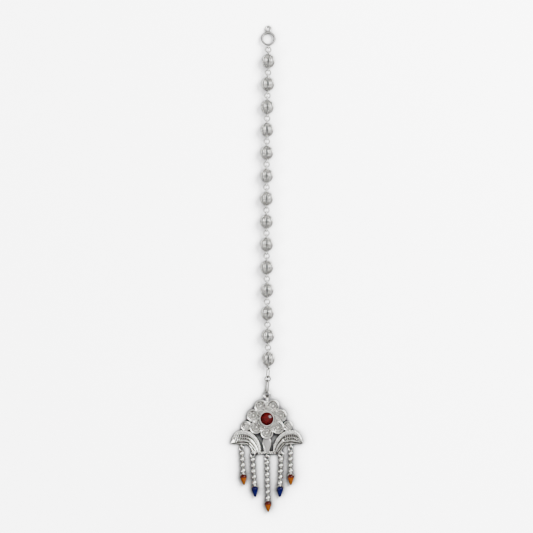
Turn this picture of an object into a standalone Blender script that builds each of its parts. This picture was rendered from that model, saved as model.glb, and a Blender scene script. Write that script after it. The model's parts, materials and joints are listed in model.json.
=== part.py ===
"""Maang tikka: a silver forehead jewel laid flat, with its chain, pendant and five drops.

Frame: X to the right, Y toward the chain's end ring, Z up from the surface it lies on.
The origin is the middle of the whole jewel's footprint, on that surface. Lengths are in metres.
The pendant's own plane has its zero at the flower's middle, and the chain is worked out from its bail.
"""
import math

import bmesh
import bpy
from mathutils import Matrix, Vector

MM = 0.001

# Fits
LINK_PLAY = 0.12 * MM
STONE_PLAY = 0.10 * MM
SOLDER_LAP = 0.18 * MM

# Points closer than this are one, and faces flatter than this to each other are one
WELD_DISTANCE = 0.002 * MM
FLAT_ANGLE = math.radians(0.5)
SHARP_ANGLE = math.radians(50)

# Roundness of the meshed wires, beads and cups
RING_SIDES = 10
WIRE_SIDES = 5
BEAD_SIDES = 10
CUP_SIDES = 12
BEZEL_SIDES = 16
END_RING_SIDES = 16

# The cups are turned a little, so that no facet of two neighbours lies edge on edge
CUP_TURN = math.radians(7)

# Pierced balls of the chain
BALL_COUNT = 14
BALL_DIAMETER = 4.9 * MM
BALL_LENGTH = 5.2 * MM
BALL_WALL = 0.45 * MM
RIB_COUNT = 8
RIB_WIDTH = 0.72 * MM
BALL_BELLY_LATITUDE = math.radians(20)
GAP_END_LATITUDE = math.radians(54)
POLE_FLAT_DIAMETER = 1.5 * MM

# Eyes soldered on the balls, and the jump rings between them
EYE_WIRE = 0.40 * MM
EYE_BORE = 0.68 * MM
CHAIN_RING_WIRE = 0.44 * MM
CHAIN_RING_DIAMETER = 2.36 * MM

# The chain's gentle sideways bow, from its middle to its ends
CHAIN_BOW = 0.65 * MM
CHAIN_END_OFFSET = 0.50 * MM

# End ring and its two soldered loops
END_RING_DIAMETER = 5.2 * MM
END_RING_WIRE = 0.70 * MM
END_LOOP_DIAMETER = 2.4 * MM
END_LOOP_WIRE = 0.50 * MM

# Links between the last ball and the pendant
LONG_LINK_LENGTH = 4.0 * MM
LONG_LINK_WIDTH = 2.2 * MM
LONG_LINK_WIRE = 0.40 * MM
JOINT_RING_DIAMETER = 2.5 * MM
JOINT_RING_WIRE = 0.50 * MM
BAIL_LINK_LENGTH = 5.2 * MM
BAIL_LINK_WIDTH = 2.4 * MM
BAIL_LINK_WIRE = 0.46 * MM
LONG_LINK_ROLL = math.radians(62)
JOINT_RING_ROLL = math.radians(-12)
BAIL_LINK_ROLL = math.radians(64)

# Bail ring on the pendant
BAIL_RING_DIAMETER = 2.9 * MM
BAIL_RING_WIRE = 0.56 * MM
BAIL_RING_HEIGHT = 1.2 * MM
BAIL_STEM_LENGTH = 2.2 * MM
BAIL_STEM_WIDTH = 1.3 * MM
BAIL_STEM_TOP_WIDTH = 0.8 * MM
BAIL_STEM_THICKNESS = 1.1 * MM
BAIL_GRAIN_DIAMETER = 0.9 * MM
BAIL_GRAIN_HEIGHT = 0.4 * MM

# Flower
PETAL_COUNT = 7
PETAL_DIAMETER = 4.6 * MM
PETAL_FOOT_DIAMETER = 3.3 * MM
PETAL_HEIGHT = 1.7 * MM
PETAL_RIM = 0.32 * MM
PETAL_FLOOR = 0.75 * MM
PETAL_CIRCLE_DIAMETER = 10.1 * MM
GRAIN_DIAMETER = 0.85 * MM
GRAIN_HEIGHT = 0.55 * MM
BACK_DISC_LAP = 0.10 * MM
BACK_DISC_HEIGHT = 1.0 * MM

# Centre stone and bezel
STONE_DIAMETER = 4.6 * MM
STONE_TABLE_DIAMETER = 2.5 * MM
STONE_FACETS = 8
STONE_CROWN = 0.85 * MM
STONE_GIRDLE = 0.20 * MM
STONE_PAVILION = 1.45 * MM
BEZEL_WALL = 0.26 * MM
BEZEL_HEIGHT = 2.5 * MM
BEZEL_LIP = 0.15 * MM
BEZEL_FLOOR = 0.50 * MM

# Side discs beside the flower
DISC_DIAMETER = 3.5 * MM
DISC_HEIGHT = 1.1 * MM
DISC_RIM = 0.30 * MM
DISC_FLOOR = 0.70 * MM
DISC_BEARING = math.radians(8)

# Wings
WING_SPAN = 10.7 * MM
WING_RISE = 8.6 * MM
WING_ROOT = 2.3 * MM
WING_THICKNESS = 1.5 * MM
WING_TROUGH = 0.95 * MM
WING_LEDGE = 0.45 * MM
WING_LEDGE_RIM = 0.90 * MM
WING_LEDGE_WIDTH = 1.7 * MM
WING_LAP = 0.25 * MM

# Tear plate and base bar between the wings
TEAR_WIDTH = 3.0 * MM
TEAR_THICKNESS = 0.9 * MM
TEAR_FOOT_WIDTH = 1.2 * MM
BAR_WIDTH = 0.9 * MM
BAR_THICKNESS = 0.85 * MM
BAR_INSET = 0.06 * MM

# Hanger loops and the strands hooked to them
HANGER_BORE = 0.68 * MM
HANGER_WIRE = 0.40 * MM
HANGER_HEIGHT = 0.85 * MM
STRAND_RING_DIAMETER = 2.0 * MM
STRAND_RING_WIRE = 0.40 * MM
BEAD_DIAMETER = 1.9 * MM
BEAD_PITCH = 2.10 * MM
BEAD_NECK_DIAMETER = 0.75 * MM
BEAD_ANGLES = (math.radians(45), math.radians(90), math.radians(135))
CAP_WALL = 0.22 * MM
CAP_ANGLE = math.radians(56)

# Drop stones
DROP_DIAMETER = 2.4 * MM
DROP_LENGTH = 4.2 * MM
DROP_SIDES = 10
DROP_TOP_ANGLES = (0.0, math.radians(30), math.radians(62), math.radians(90))

# One row for each strand, from the left. A wing hanger sits at the lip of one of the wing's sections.
# Columns: number, what carries it, wing section, how far its foot leans to the right, beads, stone colour.
OUTER_BEADS = 4
INNER_BEADS = 5
CENTRE_BEADS = 7
STRANDS = (
    (1, "left_wing", 3, 0.75 * MM, OUTER_BEADS, "orange"),
    (2, "left_wing", 8, 0.85 * MM, INNER_BEADS, "blue"),
    (3, "base_bar", None, 0.45 * MM, CENTRE_BEADS, "orange"),
    (4, "right_wing", 8, -0.45 * MM, INNER_BEADS, "blue"),
    (5, "right_wing", 4, 0.10 * MM, OUTER_BEADS, "orange"),
)

# Wing sections from the tip to the root.
# Columns: outer edge across and up, inner edge across and up, ledge.
# Across is a share of the span from the root, up a share of the rise, ledge a share of its width.
WING_SECTIONS = (
    (1.000, 0.480, 0.985, 0.445, 0.08),
    (0.935, 0.700, 0.870, 0.490, 0.30),
    (0.850, 0.895, 0.757, 0.525, 0.62),
    (0.729, 0.985, 0.664, 0.548, 0.78),
    (0.620, 1.000, 0.592, 0.555, 0.78),
    (0.450, 0.970, 0.462, 0.536, 0.74),
    (0.280, 0.865, 0.364, 0.468, 0.62),
    (0.159, 0.712, 0.280, 0.365, 0.60),
    (0.065, 0.520, 0.206, 0.260, 0.72),
    (0.014, 0.315, 0.150, 0.155, 0.52),
    (0.005, 0.150, 0.103, 0.062, 0.40),
    (0.030, 0.000, 0.072, 0.000, 0.10),
)

# Cross-section of a wing, from the outer foot over the top to the ledge's foot.
# Columns: what the place is measured on, the share of it, the height.
WING_PROFILE = (
    ("leaf", 0.00, 0.0),
    ("leaf", 0.00, 0.85 * WING_THICKNESS),
    ("leaf", 0.13, WING_THICKNESS),
    ("leaf", 0.30, WING_TROUGH),
    ("leaf", 0.72, WING_TROUGH),
    ("leaf", 0.86, 0.93 * WING_THICKNESS),
    ("leaf", 1.00, 0.92 * WING_TROUGH),
    ("ledge", 0.06, WING_LEDGE),
    ("ledge", 0.66, WING_LEDGE),
    ("ledge", 0.84, WING_LEDGE_RIM),
    ("ledge", 1.00, 0.85 * WING_LEDGE_RIM),
    ("ledge", 1.00, 0.0),
)

# A grain's shoulder, as shares of its radius and of its height
GRAIN_SHOULDER = (0.7, 0.75)

# Pear outline of a drop below its widest place.
# Columns: distance down as a share of that stretch, radius as a share of the widest.
DROP_TAPER = ((0.22, 0.90), (0.62, 0.50), (0.95, 0.12))

# Tear outline from its top to its foot.
# Columns: distance down as a share of its length, half width as a share of the widest.
TEAR_OUTLINE = ((0.0, 0.35), (0.10, 0.78), (0.28, 1.0), (0.50, 0.90), (0.75, 0.58))

# Sizes worked out from those above
EYE_RADIUS = (EYE_BORE + EYE_WIRE) / 2
EYE_STANDOFF = EYE_RADIUS + EYE_WIRE / 2 - SOLDER_LAP
CHAIN_RING_RADIUS = (CHAIN_RING_DIAMETER - CHAIN_RING_WIRE) / 2
BALL_PITCH = BALL_LENGTH + 2 * EYE_STANDOFF + 2 * CHAIN_RING_RADIUS
CHAIN_HEIGHT = BALL_DIAMETER / 2
PETAL_RING_RADIUS = PETAL_CIRCLE_DIAMETER / 2
BACK_DISC_RADIUS = PETAL_RING_RADIUS - PETAL_FOOT_DIAMETER / 2 + BACK_DISC_LAP
BEZEL_BORE_RADIUS = STONE_DIAMETER / 2 + STONE_PLAY
BEZEL_RADIUS = BEZEL_BORE_RADIUS + BEZEL_WALL
HANGER_RADIUS = (HANGER_BORE + HANGER_WIRE) / 2
HANGER_STANDOFF = HANGER_RADIUS + HANGER_WIRE / 2 - SOLDER_LAP
STRAND_RING_RADIUS = (STRAND_RING_DIAMETER - STRAND_RING_WIRE) / 2
CAP_BORE_RADIUS = DROP_DIAMETER / 2 + STONE_PLAY
CAP_RADIUS = CAP_BORE_RADIUS + CAP_WALL
DROP_REST_HEIGHT = max(DROP_DIAMETER / 2, CAP_RADIUS * math.sin(CAP_ANGLE))


def clear_scene():
    """Remove what the start-up scene holds."""
    for obj in list(bpy.data.objects):
        bpy.data.objects.remove(obj, do_unlink=True)


def make_material(name, colour, roughness, metallic):
    """A plain Principled material."""
    material = bpy.data.materials.new(name)
    material.use_nodes = True
    shader = material.node_tree.nodes["Principled BSDF"]
    shader.inputs["Base Color"].default_value = (*colour, 1.0)
    shader.inputs["Roughness"].default_value = roughness
    shader.inputs["Metallic"].default_value = metallic
    return material


def make_object(name, bm, material):
    """Turn a bmesh into a linked object with smooth round faces and sharp edges."""
    bmesh.ops.recalc_face_normals(bm, faces=bm.faces[:])
    if bm.calc_volume(signed=True) < 0:
        bmesh.ops.reverse_faces(bm, faces=bm.faces[:])
    mesh = bpy.data.meshes.new(name)
    bm.to_mesh(mesh)
    bm.free()
    mesh.materials.append(material)
    mesh.shade_smooth()
    mesh.set_sharp_from_angle(angle=SHARP_ANGLE)
    obj = bpy.data.objects.new(name, mesh)
    bpy.context.scene.collection.objects.link(obj)
    return obj


def fuse(name, shapes, material):
    """Solder several closed bmeshes into one solid."""
    base = make_object(name, shapes[0], material)
    pieces = [make_object(f"{name}_piece", shape, material) for shape in shapes[1:]]
    for piece in pieces:
        union = base.modifiers.new("Union", "BOOLEAN")
        union.operation = "UNION"
        union.object = piece
    depsgraph = bpy.context.evaluated_depsgraph_get()
    bm = bmesh.new()
    bm.from_object(base, depsgraph)
    for obj in [base, *pieces]:
        bpy.data.objects.remove(obj, do_unlink=True)
    bmesh.ops.remove_doubles(bm, verts=bm.verts[:], dist=WELD_DISTANCE)
    bmesh.ops.dissolve_limit(bm, angle_limit=FLAT_ANGLE, verts=bm.verts[:], edges=bm.edges[:])
    return make_object(name, bm, material)


def wire_ring(radius, wire, place, sides=RING_SIDES, stretch=0.0, wire_sides=WIRE_SIDES):
    """A link of round wire, flat in its own XY plane, stretched along its own Y.

    The radius is taken at the middle of the wire.
    """
    bm = bmesh.new()
    half_step = Matrix.Rotation(math.pi / sides, 4, "Z")
    upright = Matrix.Translation((radius, 0, 0)) @ Matrix.Rotation(math.pi / 2, 4, "X")
    bmesh.ops.create_circle(bm, segments=wire_sides, radius=wire / 2, matrix=half_step @ upright)
    bmesh.ops.spin(bm, geom=bm.verts[:] + bm.edges[:], cent=(0, 0, 0), axis=(0, 0, 1),
                   angle=2 * math.pi, steps=sides, use_merge=True)
    for vert in bm.verts:
        vert.co.y += math.copysign(stretch / 2, vert.co.y)
    bm.transform(place)
    return bm


def turned(profile, sides, place=Matrix.Identity(4)):
    """A closed body turned about its own Z from (radius, height) points that start and end on the axis."""
    bm = bmesh.new()
    verts = [bm.verts.new((radius, 0, height)) for radius, height in profile]
    edges = [bm.edges.new(pair) for pair in zip(verts, verts[1:])]
    bmesh.ops.spin(bm, geom=verts + edges, cent=(0, 0, 0), axis=(0, 0, 1),
                   angle=2 * math.pi, steps=sides, use_merge=True)
    bmesh.ops.remove_doubles(bm, verts=bm.verts[:], dist=WELD_DISTANCE)
    bm.transform(place)
    return bm


def slab(outline, bottom, top):
    """A flat plate with an outline of (x, y) points, between two heights."""
    bm = bmesh.new()
    face = bm.faces.new([bm.verts.new((x, y, bottom)) for x, y in outline])
    raised = bmesh.ops.extrude_face_region(bm, geom=[face])["geom"]
    lifted = [item for item in raised if isinstance(item, bmesh.types.BMVert)]
    bmesh.ops.translate(bm, vec=(0, 0, top - bottom), verts=lifted)
    return bm


def lofted(sections):
    """A closed body lofted through loops of points, with flat ends."""
    bm = bmesh.new()
    loops = [[bm.verts.new(point) for point in section] for section in sections]
    for lower, upper in zip(loops, loops[1:]):
        for index, corner in enumerate(lower):
            after = (index + 1) % len(lower)
            bm.faces.new((corner, lower[after], upper[after], upper[index]))
    bm.faces.new(loops[0])
    bm.faces.new(loops[-1])
    bmesh.ops.triangulate(bm, faces=bm.faces[:])
    return bm


def along(start, direction, roll=0.0):
    """A placing matrix: own Y runs along the direction, own Z turns up at no roll."""
    forward = Vector(direction).normalized()
    side = forward.cross(Vector((0, 0, 1))).normalized()
    up = side.cross(forward)
    turn = Matrix((side, forward, up)).transposed().to_4x4()
    return Matrix.Translation(start) @ turn @ Matrix.Rotation(roll, 4, "Y")


def hook_length(wire_a, wire_b):
    """How far a hooked link's wire lies inside its neighbour's wire, middle to middle."""
    return (wire_a + wire_b) / 2 + LINK_PLAY


def ball_point(radius, half_length, latitude, azimuth):
    """A point on the ball's long-round surface, its poles on Y."""
    ring = radius * math.cos(latitude)
    return Vector((ring * math.sin(azimuth), half_length * math.sin(latitude), ring * math.cos(azimuth)))


def ball_cage():
    """The hollow ball, its poles on Y: ribs between lens-shaped gaps, closed at both poles."""
    bm = bmesh.new()
    step = 2 * math.pi / RIB_COUNT
    outer = (BALL_DIAMETER / 2, BALL_LENGTH / 2)
    inner = (outer[0] - BALL_WALL, outer[1] - BALL_WALL)
    belly_ring = outer[0] * math.cos(BALL_BELLY_LATITUDE)
    rib_half_angle = RIB_WIDTH / 2 / belly_ring

    def gap_ends(shell, side):
        latitude = side * GAP_END_LATITUDE
        return [bm.verts.new(ball_point(*shell, latitude, step * k)) for k in range(RIB_COUNT)]

    def rib_edges(shell, side):
        latitude = side * BALL_BELLY_LATITUDE
        angles = [(step * (k + 0.5) - rib_half_angle, step * (k + 0.5) + rib_half_angle)
                  for k in range(RIB_COUNT)]
        return [[bm.verts.new(ball_point(*shell, latitude, angle)) for angle in pair] for pair in angles]

    ends = {(shell, side): gap_ends(shell, side) for shell in (outer, inner) for side in (1, -1)}
    edges = {(shell, side): rib_edges(shell, side) for shell in (outer, inner) for side in (1, -1)}
    for k in range(RIB_COUNT):
        after = (k + 1) % RIB_COUNT
        for shell in (outer, inner):
            for side in (1, -1):
                left, right = edges[shell, side][k]
                bm.faces.new((ends[shell, side][k], ends[shell, side][after], right, left))
            bm.faces.new((*edges[shell, 1][k], *reversed(edges[shell, -1][k])))
        for edge, end in ((0, k), (1, after)):
            for side in (1, -1):
                bm.faces.new((ends[outer, side][end], edges[outer, side][k][edge],
                              edges[inner, side][k][edge], ends[inner, side][end]))
            bm.faces.new((edges[outer, 1][k][edge], edges[outer, -1][k][edge],
                          edges[inner, -1][k][edge], edges[inner, 1][k][edge]))
    for side in (1, -1):
        flat = [bm.verts.new((POLE_FLAT_DIAMETER / 2 * math.sin(step * k), side * BALL_LENGTH / 2,
                              POLE_FLAT_DIAMETER / 2 * math.cos(step * k))) for k in range(RIB_COUNT)]
        for k in range(RIB_COUNT):
            after = (k + 1) % RIB_COUNT
            bm.faces.new((ends[outer, side][k], ends[outer, side][after], flat[after], flat[k]))
        bm.faces.new(flat)
        bm.faces.new(ends[inner, side])
    return bm


def make_ball(name, foot_eye_roll, material):
    """A ball with an eye at each pole; the foot's eye may be rolled about the chain."""
    reach = BALL_LENGTH / 2 + EYE_STANDOFF
    head = along((0, reach, 0), (0, 1, 0), math.pi / 2)
    foot = along((0, -reach, 0), (0, 1, 0), foot_eye_roll)
    eyes = [wire_ring(EYE_RADIUS, EYE_WIRE, place) for place in (head, foot)]
    return fuse(name, [ball_cage(), *eyes], material)


def chain_side(share):
    """Sideways place of the chain, at a share from its head to its foot."""
    return CHAIN_END_OFFSET - CHAIN_BOW * (1 - (2 * share - 1) ** 2)


def bail_ring_radius():
    """Radius of the bail ring at the middle of its wire."""
    return (BAIL_RING_DIAMETER - BAIL_RING_WIRE) / 2


def petal_angles():
    """Bearings of the petals, one of them straight down."""
    return [-math.pi / 2 + 2 * math.pi * k / PETAL_COUNT for k in range(PETAL_COUNT)]


def petal_notch():
    """Height above the flower's middle where its two upper petals meet."""
    half_step = math.pi / PETAL_COUNT
    across = PETAL_RING_RADIUS * math.sin(half_step)
    rise = math.sqrt(max((PETAL_DIAMETER / 2) ** 2 - across ** 2, 0.0))
    return PETAL_RING_RADIUS * math.cos(half_step) + rise


def bail_ring_centre():
    """Place of the bail ring in the pendant's plane."""
    stem_top = petal_notch() + BAIL_STEM_LENGTH
    return Vector((0, stem_top + BAIL_RING_DIAMETER / 2 - SOLDER_LAP, BAIL_RING_HEIGHT))


def petal_radius_at(height):
    """Outer radius of a petal's flaring cup at a height."""
    share = min(height / PETAL_HEIGHT, 1.0)
    return (PETAL_FOOT_DIAMETER + share * (PETAL_DIAMETER - PETAL_FOOT_DIAMETER)) / 2


def disc_centre():
    """Place of the right side disc, soldered to the petal beside it."""
    bearing = min(petal_angles(), key=lambda angle: abs(angle + math.pi / 4))
    reach = petal_radius_at(DISC_HEIGHT) + DISC_DIAMETER / 2 - SOLDER_LAP
    return Vector((PETAL_RING_RADIUS * math.cos(bearing) + reach * math.cos(DISC_BEARING),
                   PETAL_RING_RADIUS * math.sin(bearing) + reach * math.sin(DISC_BEARING), 0))


def wing_foot():
    """Height of the wing's lowest place; its top is soldered under the side disc."""
    return disc_centre().y - DISC_DIAMETER / 2 + WING_LAP - WING_RISE


def wing_section(row):
    """Outer edge, inner edge and ledge edge of one wing section."""
    outer_across, outer_up, inner_across, inner_up, ledge = row
    outer = Vector((WING_ROOT + WING_SPAN * outer_across, wing_foot() + WING_RISE * outer_up, 0))
    inner = Vector((WING_ROOT + WING_SPAN * inner_across, wing_foot() + WING_RISE * inner_up, 0))
    lip = inner + (inner - outer).normalized() * WING_LEDGE_WIDTH * ledge
    return outer, inner, lip


def wing(side):
    """One crescent wing: rim, trough, inner rim and the lower ledge with its lip."""
    sections = []
    for row in WING_SECTIONS:
        outer, inner, lip = wing_section(row)
        loop = []
        for part, share, height in WING_PROFILE:
            start, end = (outer, inner) if part == "leaf" else (inner, lip)
            point = start.lerp(end, share)
            loop.append((side * point.x, point.y, height))
        sections.append(loop)
    return lofted(sections)


def bar_centre():
    """Height of the base bar's middle in the pendant's plane."""
    return wing_foot() + BAR_INSET + BAR_WIDTH / 2


def base_bar():
    """The bar that joins the two wings' roots."""
    root = WING_SECTIONS[-1]
    reach = WING_ROOT + WING_SPAN * (root[0] + root[2]) / 2
    low = bar_centre() - BAR_WIDTH / 2
    high = bar_centre() + BAR_WIDTH / 2
    return slab([(-reach, low), (reach, low), (reach, high), (-reach, high)], 0.0, BAR_THICKNESS)


def tear_plate():
    """The tear-shaped plate from the lowest petal to the base bar."""
    top = -PETAL_RING_RADIUS - petal_radius_at(TEAR_THICKNESS) + SOLDER_LAP
    length = top - bar_centre()
    right = [(share * TEAR_WIDTH / 2, top - down * length) for down, share in TEAR_OUTLINE]
    right.append((TEAR_FOOT_WIDTH / 2, bar_centre()))
    left = [(-x, y) for x, y in reversed(right)]
    return slab(right + left, 0.0, TEAR_THICKNESS)


def grain_outline(diameter, foot, height):
    """Turned outline of a grain of solder, from its foot to its top on the axis."""
    across, up = GRAIN_SHOULDER
    radius = diameter / 2
    return (radius, foot), (across * radius, foot + up * height), (0.0, foot + height)


def petal(bearing):
    """A cup petal with a grain in its middle."""
    profile = (
        (0.0, 0.0),
        (PETAL_FOOT_DIAMETER / 2, 0.0),
        (PETAL_DIAMETER / 2, PETAL_HEIGHT),
        (PETAL_DIAMETER / 2 - PETAL_RIM, PETAL_HEIGHT),
        (PETAL_FOOT_DIAMETER / 2 - PETAL_RIM, PETAL_FLOOR),
        *grain_outline(GRAIN_DIAMETER, PETAL_FLOOR, GRAIN_HEIGHT),
    )
    centre = Vector((math.cos(bearing), math.sin(bearing), 0)) * PETAL_RING_RADIUS
    place = Matrix.Translation(centre) @ Matrix.Rotation(bearing + CUP_TURN, 4, "Z")
    return turned(profile, CUP_SIDES, place)


def back_and_bezel():
    """The disc behind the flower with the stone's bezel on it."""
    profile = (
        (0.0, 0.0),
        (BACK_DISC_RADIUS, 0.0),
        (BACK_DISC_RADIUS, BACK_DISC_HEIGHT),
        (BEZEL_RADIUS, BACK_DISC_HEIGHT),
        (BEZEL_RADIUS, BEZEL_HEIGHT),
        (BEZEL_BORE_RADIUS, BEZEL_HEIGHT),
        (BEZEL_BORE_RADIUS, BEZEL_FLOOR),
        (0.0, BEZEL_FLOOR),
    )
    return turned(profile, BEZEL_SIDES)


def side_disc(side):
    """A small round disc with a rim and a grain, beside the flower."""
    grain = GRAIN_DIAMETER / 2
    profile = (
        (0.0, 0.0),
        (DISC_DIAMETER / 2, 0.0),
        (DISC_DIAMETER / 2, DISC_HEIGHT),
        (DISC_DIAMETER / 2 - DISC_RIM, DISC_HEIGHT),
        (DISC_DIAMETER / 2 - DISC_RIM, DISC_FLOOR),
        (grain, DISC_FLOOR),
        (0.0, DISC_HEIGHT),
    )
    centre = disc_centre()
    return turned(profile, CUP_SIDES, Matrix.Translation((side * centre.x, centre.y, 0)))


def bail_pieces():
    """The stem, its grain and the bail ring above the flower."""
    centre = bail_ring_centre()
    low = petal_notch() - 2 * SOLDER_LAP
    high = petal_notch() + BAIL_STEM_LENGTH
    half = BAIL_STEM_WIDTH / 2
    bottom = BAIL_RING_HEIGHT - BAIL_STEM_THICKNESS / 2
    top = bottom + BAIL_STEM_THICKNESS
    narrow = BAIL_STEM_TOP_WIDTH / 2
    stem = slab([(-half, low), (half, low), (narrow, high), (-narrow, high)], bottom, top)
    outline = ((0.0, top - SOLDER_LAP),
               *grain_outline(BAIL_GRAIN_DIAMETER, top - SOLDER_LAP, BAIL_GRAIN_HEIGHT + SOLDER_LAP))
    grain = turned(outline, BEAD_SIDES, Matrix.Translation((0, (low + high) / 2, 0)))
    ring = wire_ring(bail_ring_radius(), BAIL_RING_WIRE, Matrix.Translation(centre), wire_sides=6)
    return [stem, grain, ring]


def hanger_hole(carrier, section):
    """Middle of a hanger loop's hole in the pendant's plane."""
    if carrier == "base_bar":
        edge = Vector((0, bar_centre() - BAR_WIDTH / 2, 0))
    else:
        edge = wing_section(WING_SECTIONS[section])[2]
    side = -1 if carrier == "left_wing" else 1
    return Vector((side * edge.x, edge.y - HANGER_STANDOFF, HANGER_HEIGHT))


def hanger_loop(carrier, section):
    """An upright loop soldered under the pendant's edge."""
    hole = hanger_hole(carrier, section)
    return wire_ring(HANGER_RADIUS, HANGER_WIRE, along(hole, (0, 1, 0), math.pi / 2))


def make_pendant(origin, silver):
    """The soldered frame of the pendant, one solid."""
    shapes = [back_and_bezel()]
    shapes += [petal(bearing) for bearing in petal_angles()]
    shapes += [wing(side) for side in (-1, 1)]
    shapes += [side_disc(side) for side in (-1, 1)]
    shapes += [base_bar(), tear_plate(), *bail_pieces()]
    shapes += [hanger_loop(carrier, section) for _, carrier, section, *_ in STRANDS]
    frame = fuse("pendant_frame", shapes, silver)
    frame.location = origin
    return frame


def make_centre_stone(origin, red):
    """A round cut stone with a flat table, a faceted crown and a pointed back."""
    bm = bmesh.new()
    girdle_low = BEZEL_HEIGHT - BEZEL_LIP - STONE_GIRDLE
    girdle_high = girdle_low + STONE_GIRDLE

    def ring_of(count, radius, height):
        angles = [2 * math.pi * k / count for k in range(count)]
        return [bm.verts.new((radius * math.cos(a), radius * math.sin(a), height)) for a in angles]

    table = ring_of(STONE_FACETS, STONE_TABLE_DIAMETER / 2, girdle_high + STONE_CROWN)
    upper = ring_of(2 * STONE_FACETS, STONE_DIAMETER / 2, girdle_high)
    lower = ring_of(2 * STONE_FACETS, STONE_DIAMETER / 2, girdle_low)
    culet = bm.verts.new((0, 0, girdle_low - STONE_PAVILION))
    bm.faces.new(table)
    for k in range(STONE_FACETS):
        after = (k + 1) % STONE_FACETS
        bm.faces.new((table[k], upper[2 * k - 1], upper[2 * k]))
        bm.faces.new((table[k], upper[2 * k], upper[2 * k + 1]))
        bm.faces.new((table[k], upper[2 * k + 1], table[after]))
    for k in range(2 * STONE_FACETS):
        bm.faces.new((upper[k - 1], upper[k], lower[k], lower[k - 1]))
        bm.faces.new((lower[k - 1], lower[k], culet))
    stone = make_object("centre_stone", bm, red)
    stone.data.shade_flat()
    stone.location = origin
    return stone


def bead_centres(beads):
    """Distances of the bead centres down a strand, from the middle of its hanger's hole."""
    first = 2 * STRAND_RING_RADIUS + STRAND_RING_WIRE / 2 + BEAD_DIAMETER / 2 - SOLDER_LAP
    return [first + BEAD_PITCH * k for k in range(beads)]


def drop_centre(beads):
    """Distance of the drop's widest place down its strand."""
    return bead_centres(beads)[-1] + BEAD_DIAMETER / 2 - SOLDER_LAP + CAP_RADIUS


def strand_profile(beads):
    """Turned outline of the beads and the cap, as (radius, distance down) points."""
    radius = BEAD_DIAMETER / 2
    neck = BEAD_NECK_DIAMETER / 2
    centres = bead_centres(beads)
    profile = [(0.0, centres[0] - radius)]
    for centre in centres:
        for angle in BEAD_ANGLES:
            profile.append((radius * math.sin(angle), centre - radius * math.cos(angle)))
        if centre != centres[-1]:
            profile.append((neck, centre + BEAD_PITCH / 2))
    hub = drop_centre(beads)
    neck_angle = math.asin(min(neck / CAP_RADIUS, 1.0))
    profile.append((neck, hub - CAP_RADIUS * math.cos(neck_angle)))
    for share in (0.5, 1.0):
        angle = neck_angle + share * (CAP_ANGLE - neck_angle)
        profile.append((CAP_RADIUS * math.sin(angle), hub - CAP_RADIUS * math.cos(angle)))
    for share in (1.0, 0.5, 0.0):
        angle = share * CAP_ANGLE
        profile.append((CAP_BORE_RADIUS * math.sin(angle), hub - CAP_BORE_RADIUS * math.cos(angle)))
    return profile


def strand_direction(lean, beads):
    """Unit vector down a strand: it leans sideways and comes to rest on its drop."""
    length = drop_centre(beads)
    climb = DROP_REST_HEIGHT - HANGER_HEIGHT
    down = math.sqrt(length ** 2 - lean ** 2 - climb ** 2)
    return Vector((lean, -down, climb)) / length


def make_strand(origin, row, silver, glass):
    """One strand with its top ring, beads and cap, and the drop stone under it."""
    number, carrier, section, lean, beads, colour = row
    hook = origin + hanger_hole(carrier, section)
    direction = strand_direction(lean, beads)
    lay = along(hook, direction)
    down = lay @ Matrix.Rotation(-math.pi / 2, 4, "X")
    ring = wire_ring(STRAND_RING_RADIUS, STRAND_RING_WIRE,
                     lay @ Matrix.Translation((0, STRAND_RING_RADIUS, 0)))
    fuse(f"strand_{number}", [turned(strand_profile(beads), BEAD_SIDES, down), ring], silver)

    radius = DROP_DIAMETER / 2
    taper = DROP_LENGTH - radius
    profile = [(radius * math.sin(angle), -radius * math.cos(angle)) for angle in DROP_TOP_ANGLES]
    profile += [(share * radius, down_share * taper) for down_share, share in DROP_TAPER]
    profile.append((0.0, taper))
    stone = turned(profile, DROP_SIDES, down @ Matrix.Translation((0, 0, drop_centre(beads))))
    make_object(f"drop_stone_{number}", stone, glass[colour])


def lower_links():
    """Name, length, width, wire and roll of the pieces between the last ball and the bail."""
    return (
        ("long_link", LONG_LINK_LENGTH, LONG_LINK_WIDTH, LONG_LINK_WIRE, LONG_LINK_ROLL),
        ("joint_ring", JOINT_RING_DIAMETER, JOINT_RING_DIAMETER, JOINT_RING_WIRE, JOINT_RING_ROLL),
        ("bail_link", BAIL_LINK_LENGTH, BAIL_LINK_WIDTH, BAIL_LINK_WIRE, BAIL_LINK_ROLL),
    )


def lower_chain_length():
    """Distance from the last ball's eye to the top wire of the bail ring."""
    length = 0.0
    links = lower_links()
    for index, (_, long, _, wire, _) in enumerate(links):
        below = links[index + 1][3] if index + 1 < len(links) else BAIL_RING_WIRE
        length += long - wire - hook_length(wire, below)
    return length


def make_lower_links(top, bottom, silver):
    """Hook the three links one after another along the straight line between two hooks."""
    direction = (bottom - top).normalized()
    near = 0.0
    links = lower_links()
    for index, (name, long, wide, wire, roll) in enumerate(links):
        length = long - wire
        radius = (wide - wire) / 2
        centre = top + direction * (near + length / 2)
        place = along(centre, direction, roll)
        shape = wire_ring(radius, wire, place, stretch=length - 2 * radius)
        make_object(name, shape, silver)
        if index + 1 < len(links):
            near += length - hook_length(wire, links[index + 1][3])


def end_ring_reach():
    """Distances up the end ring from its lower loop's hole: to its middle, its top loop and its tip."""
    middle = EYE_STANDOFF + END_RING_DIAMETER / 2
    loop = middle + END_RING_DIAMETER / 2 + END_LOOP_DIAMETER / 2 - SOLDER_LAP
    return middle, loop, loop + END_LOOP_DIAMETER / 2


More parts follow.
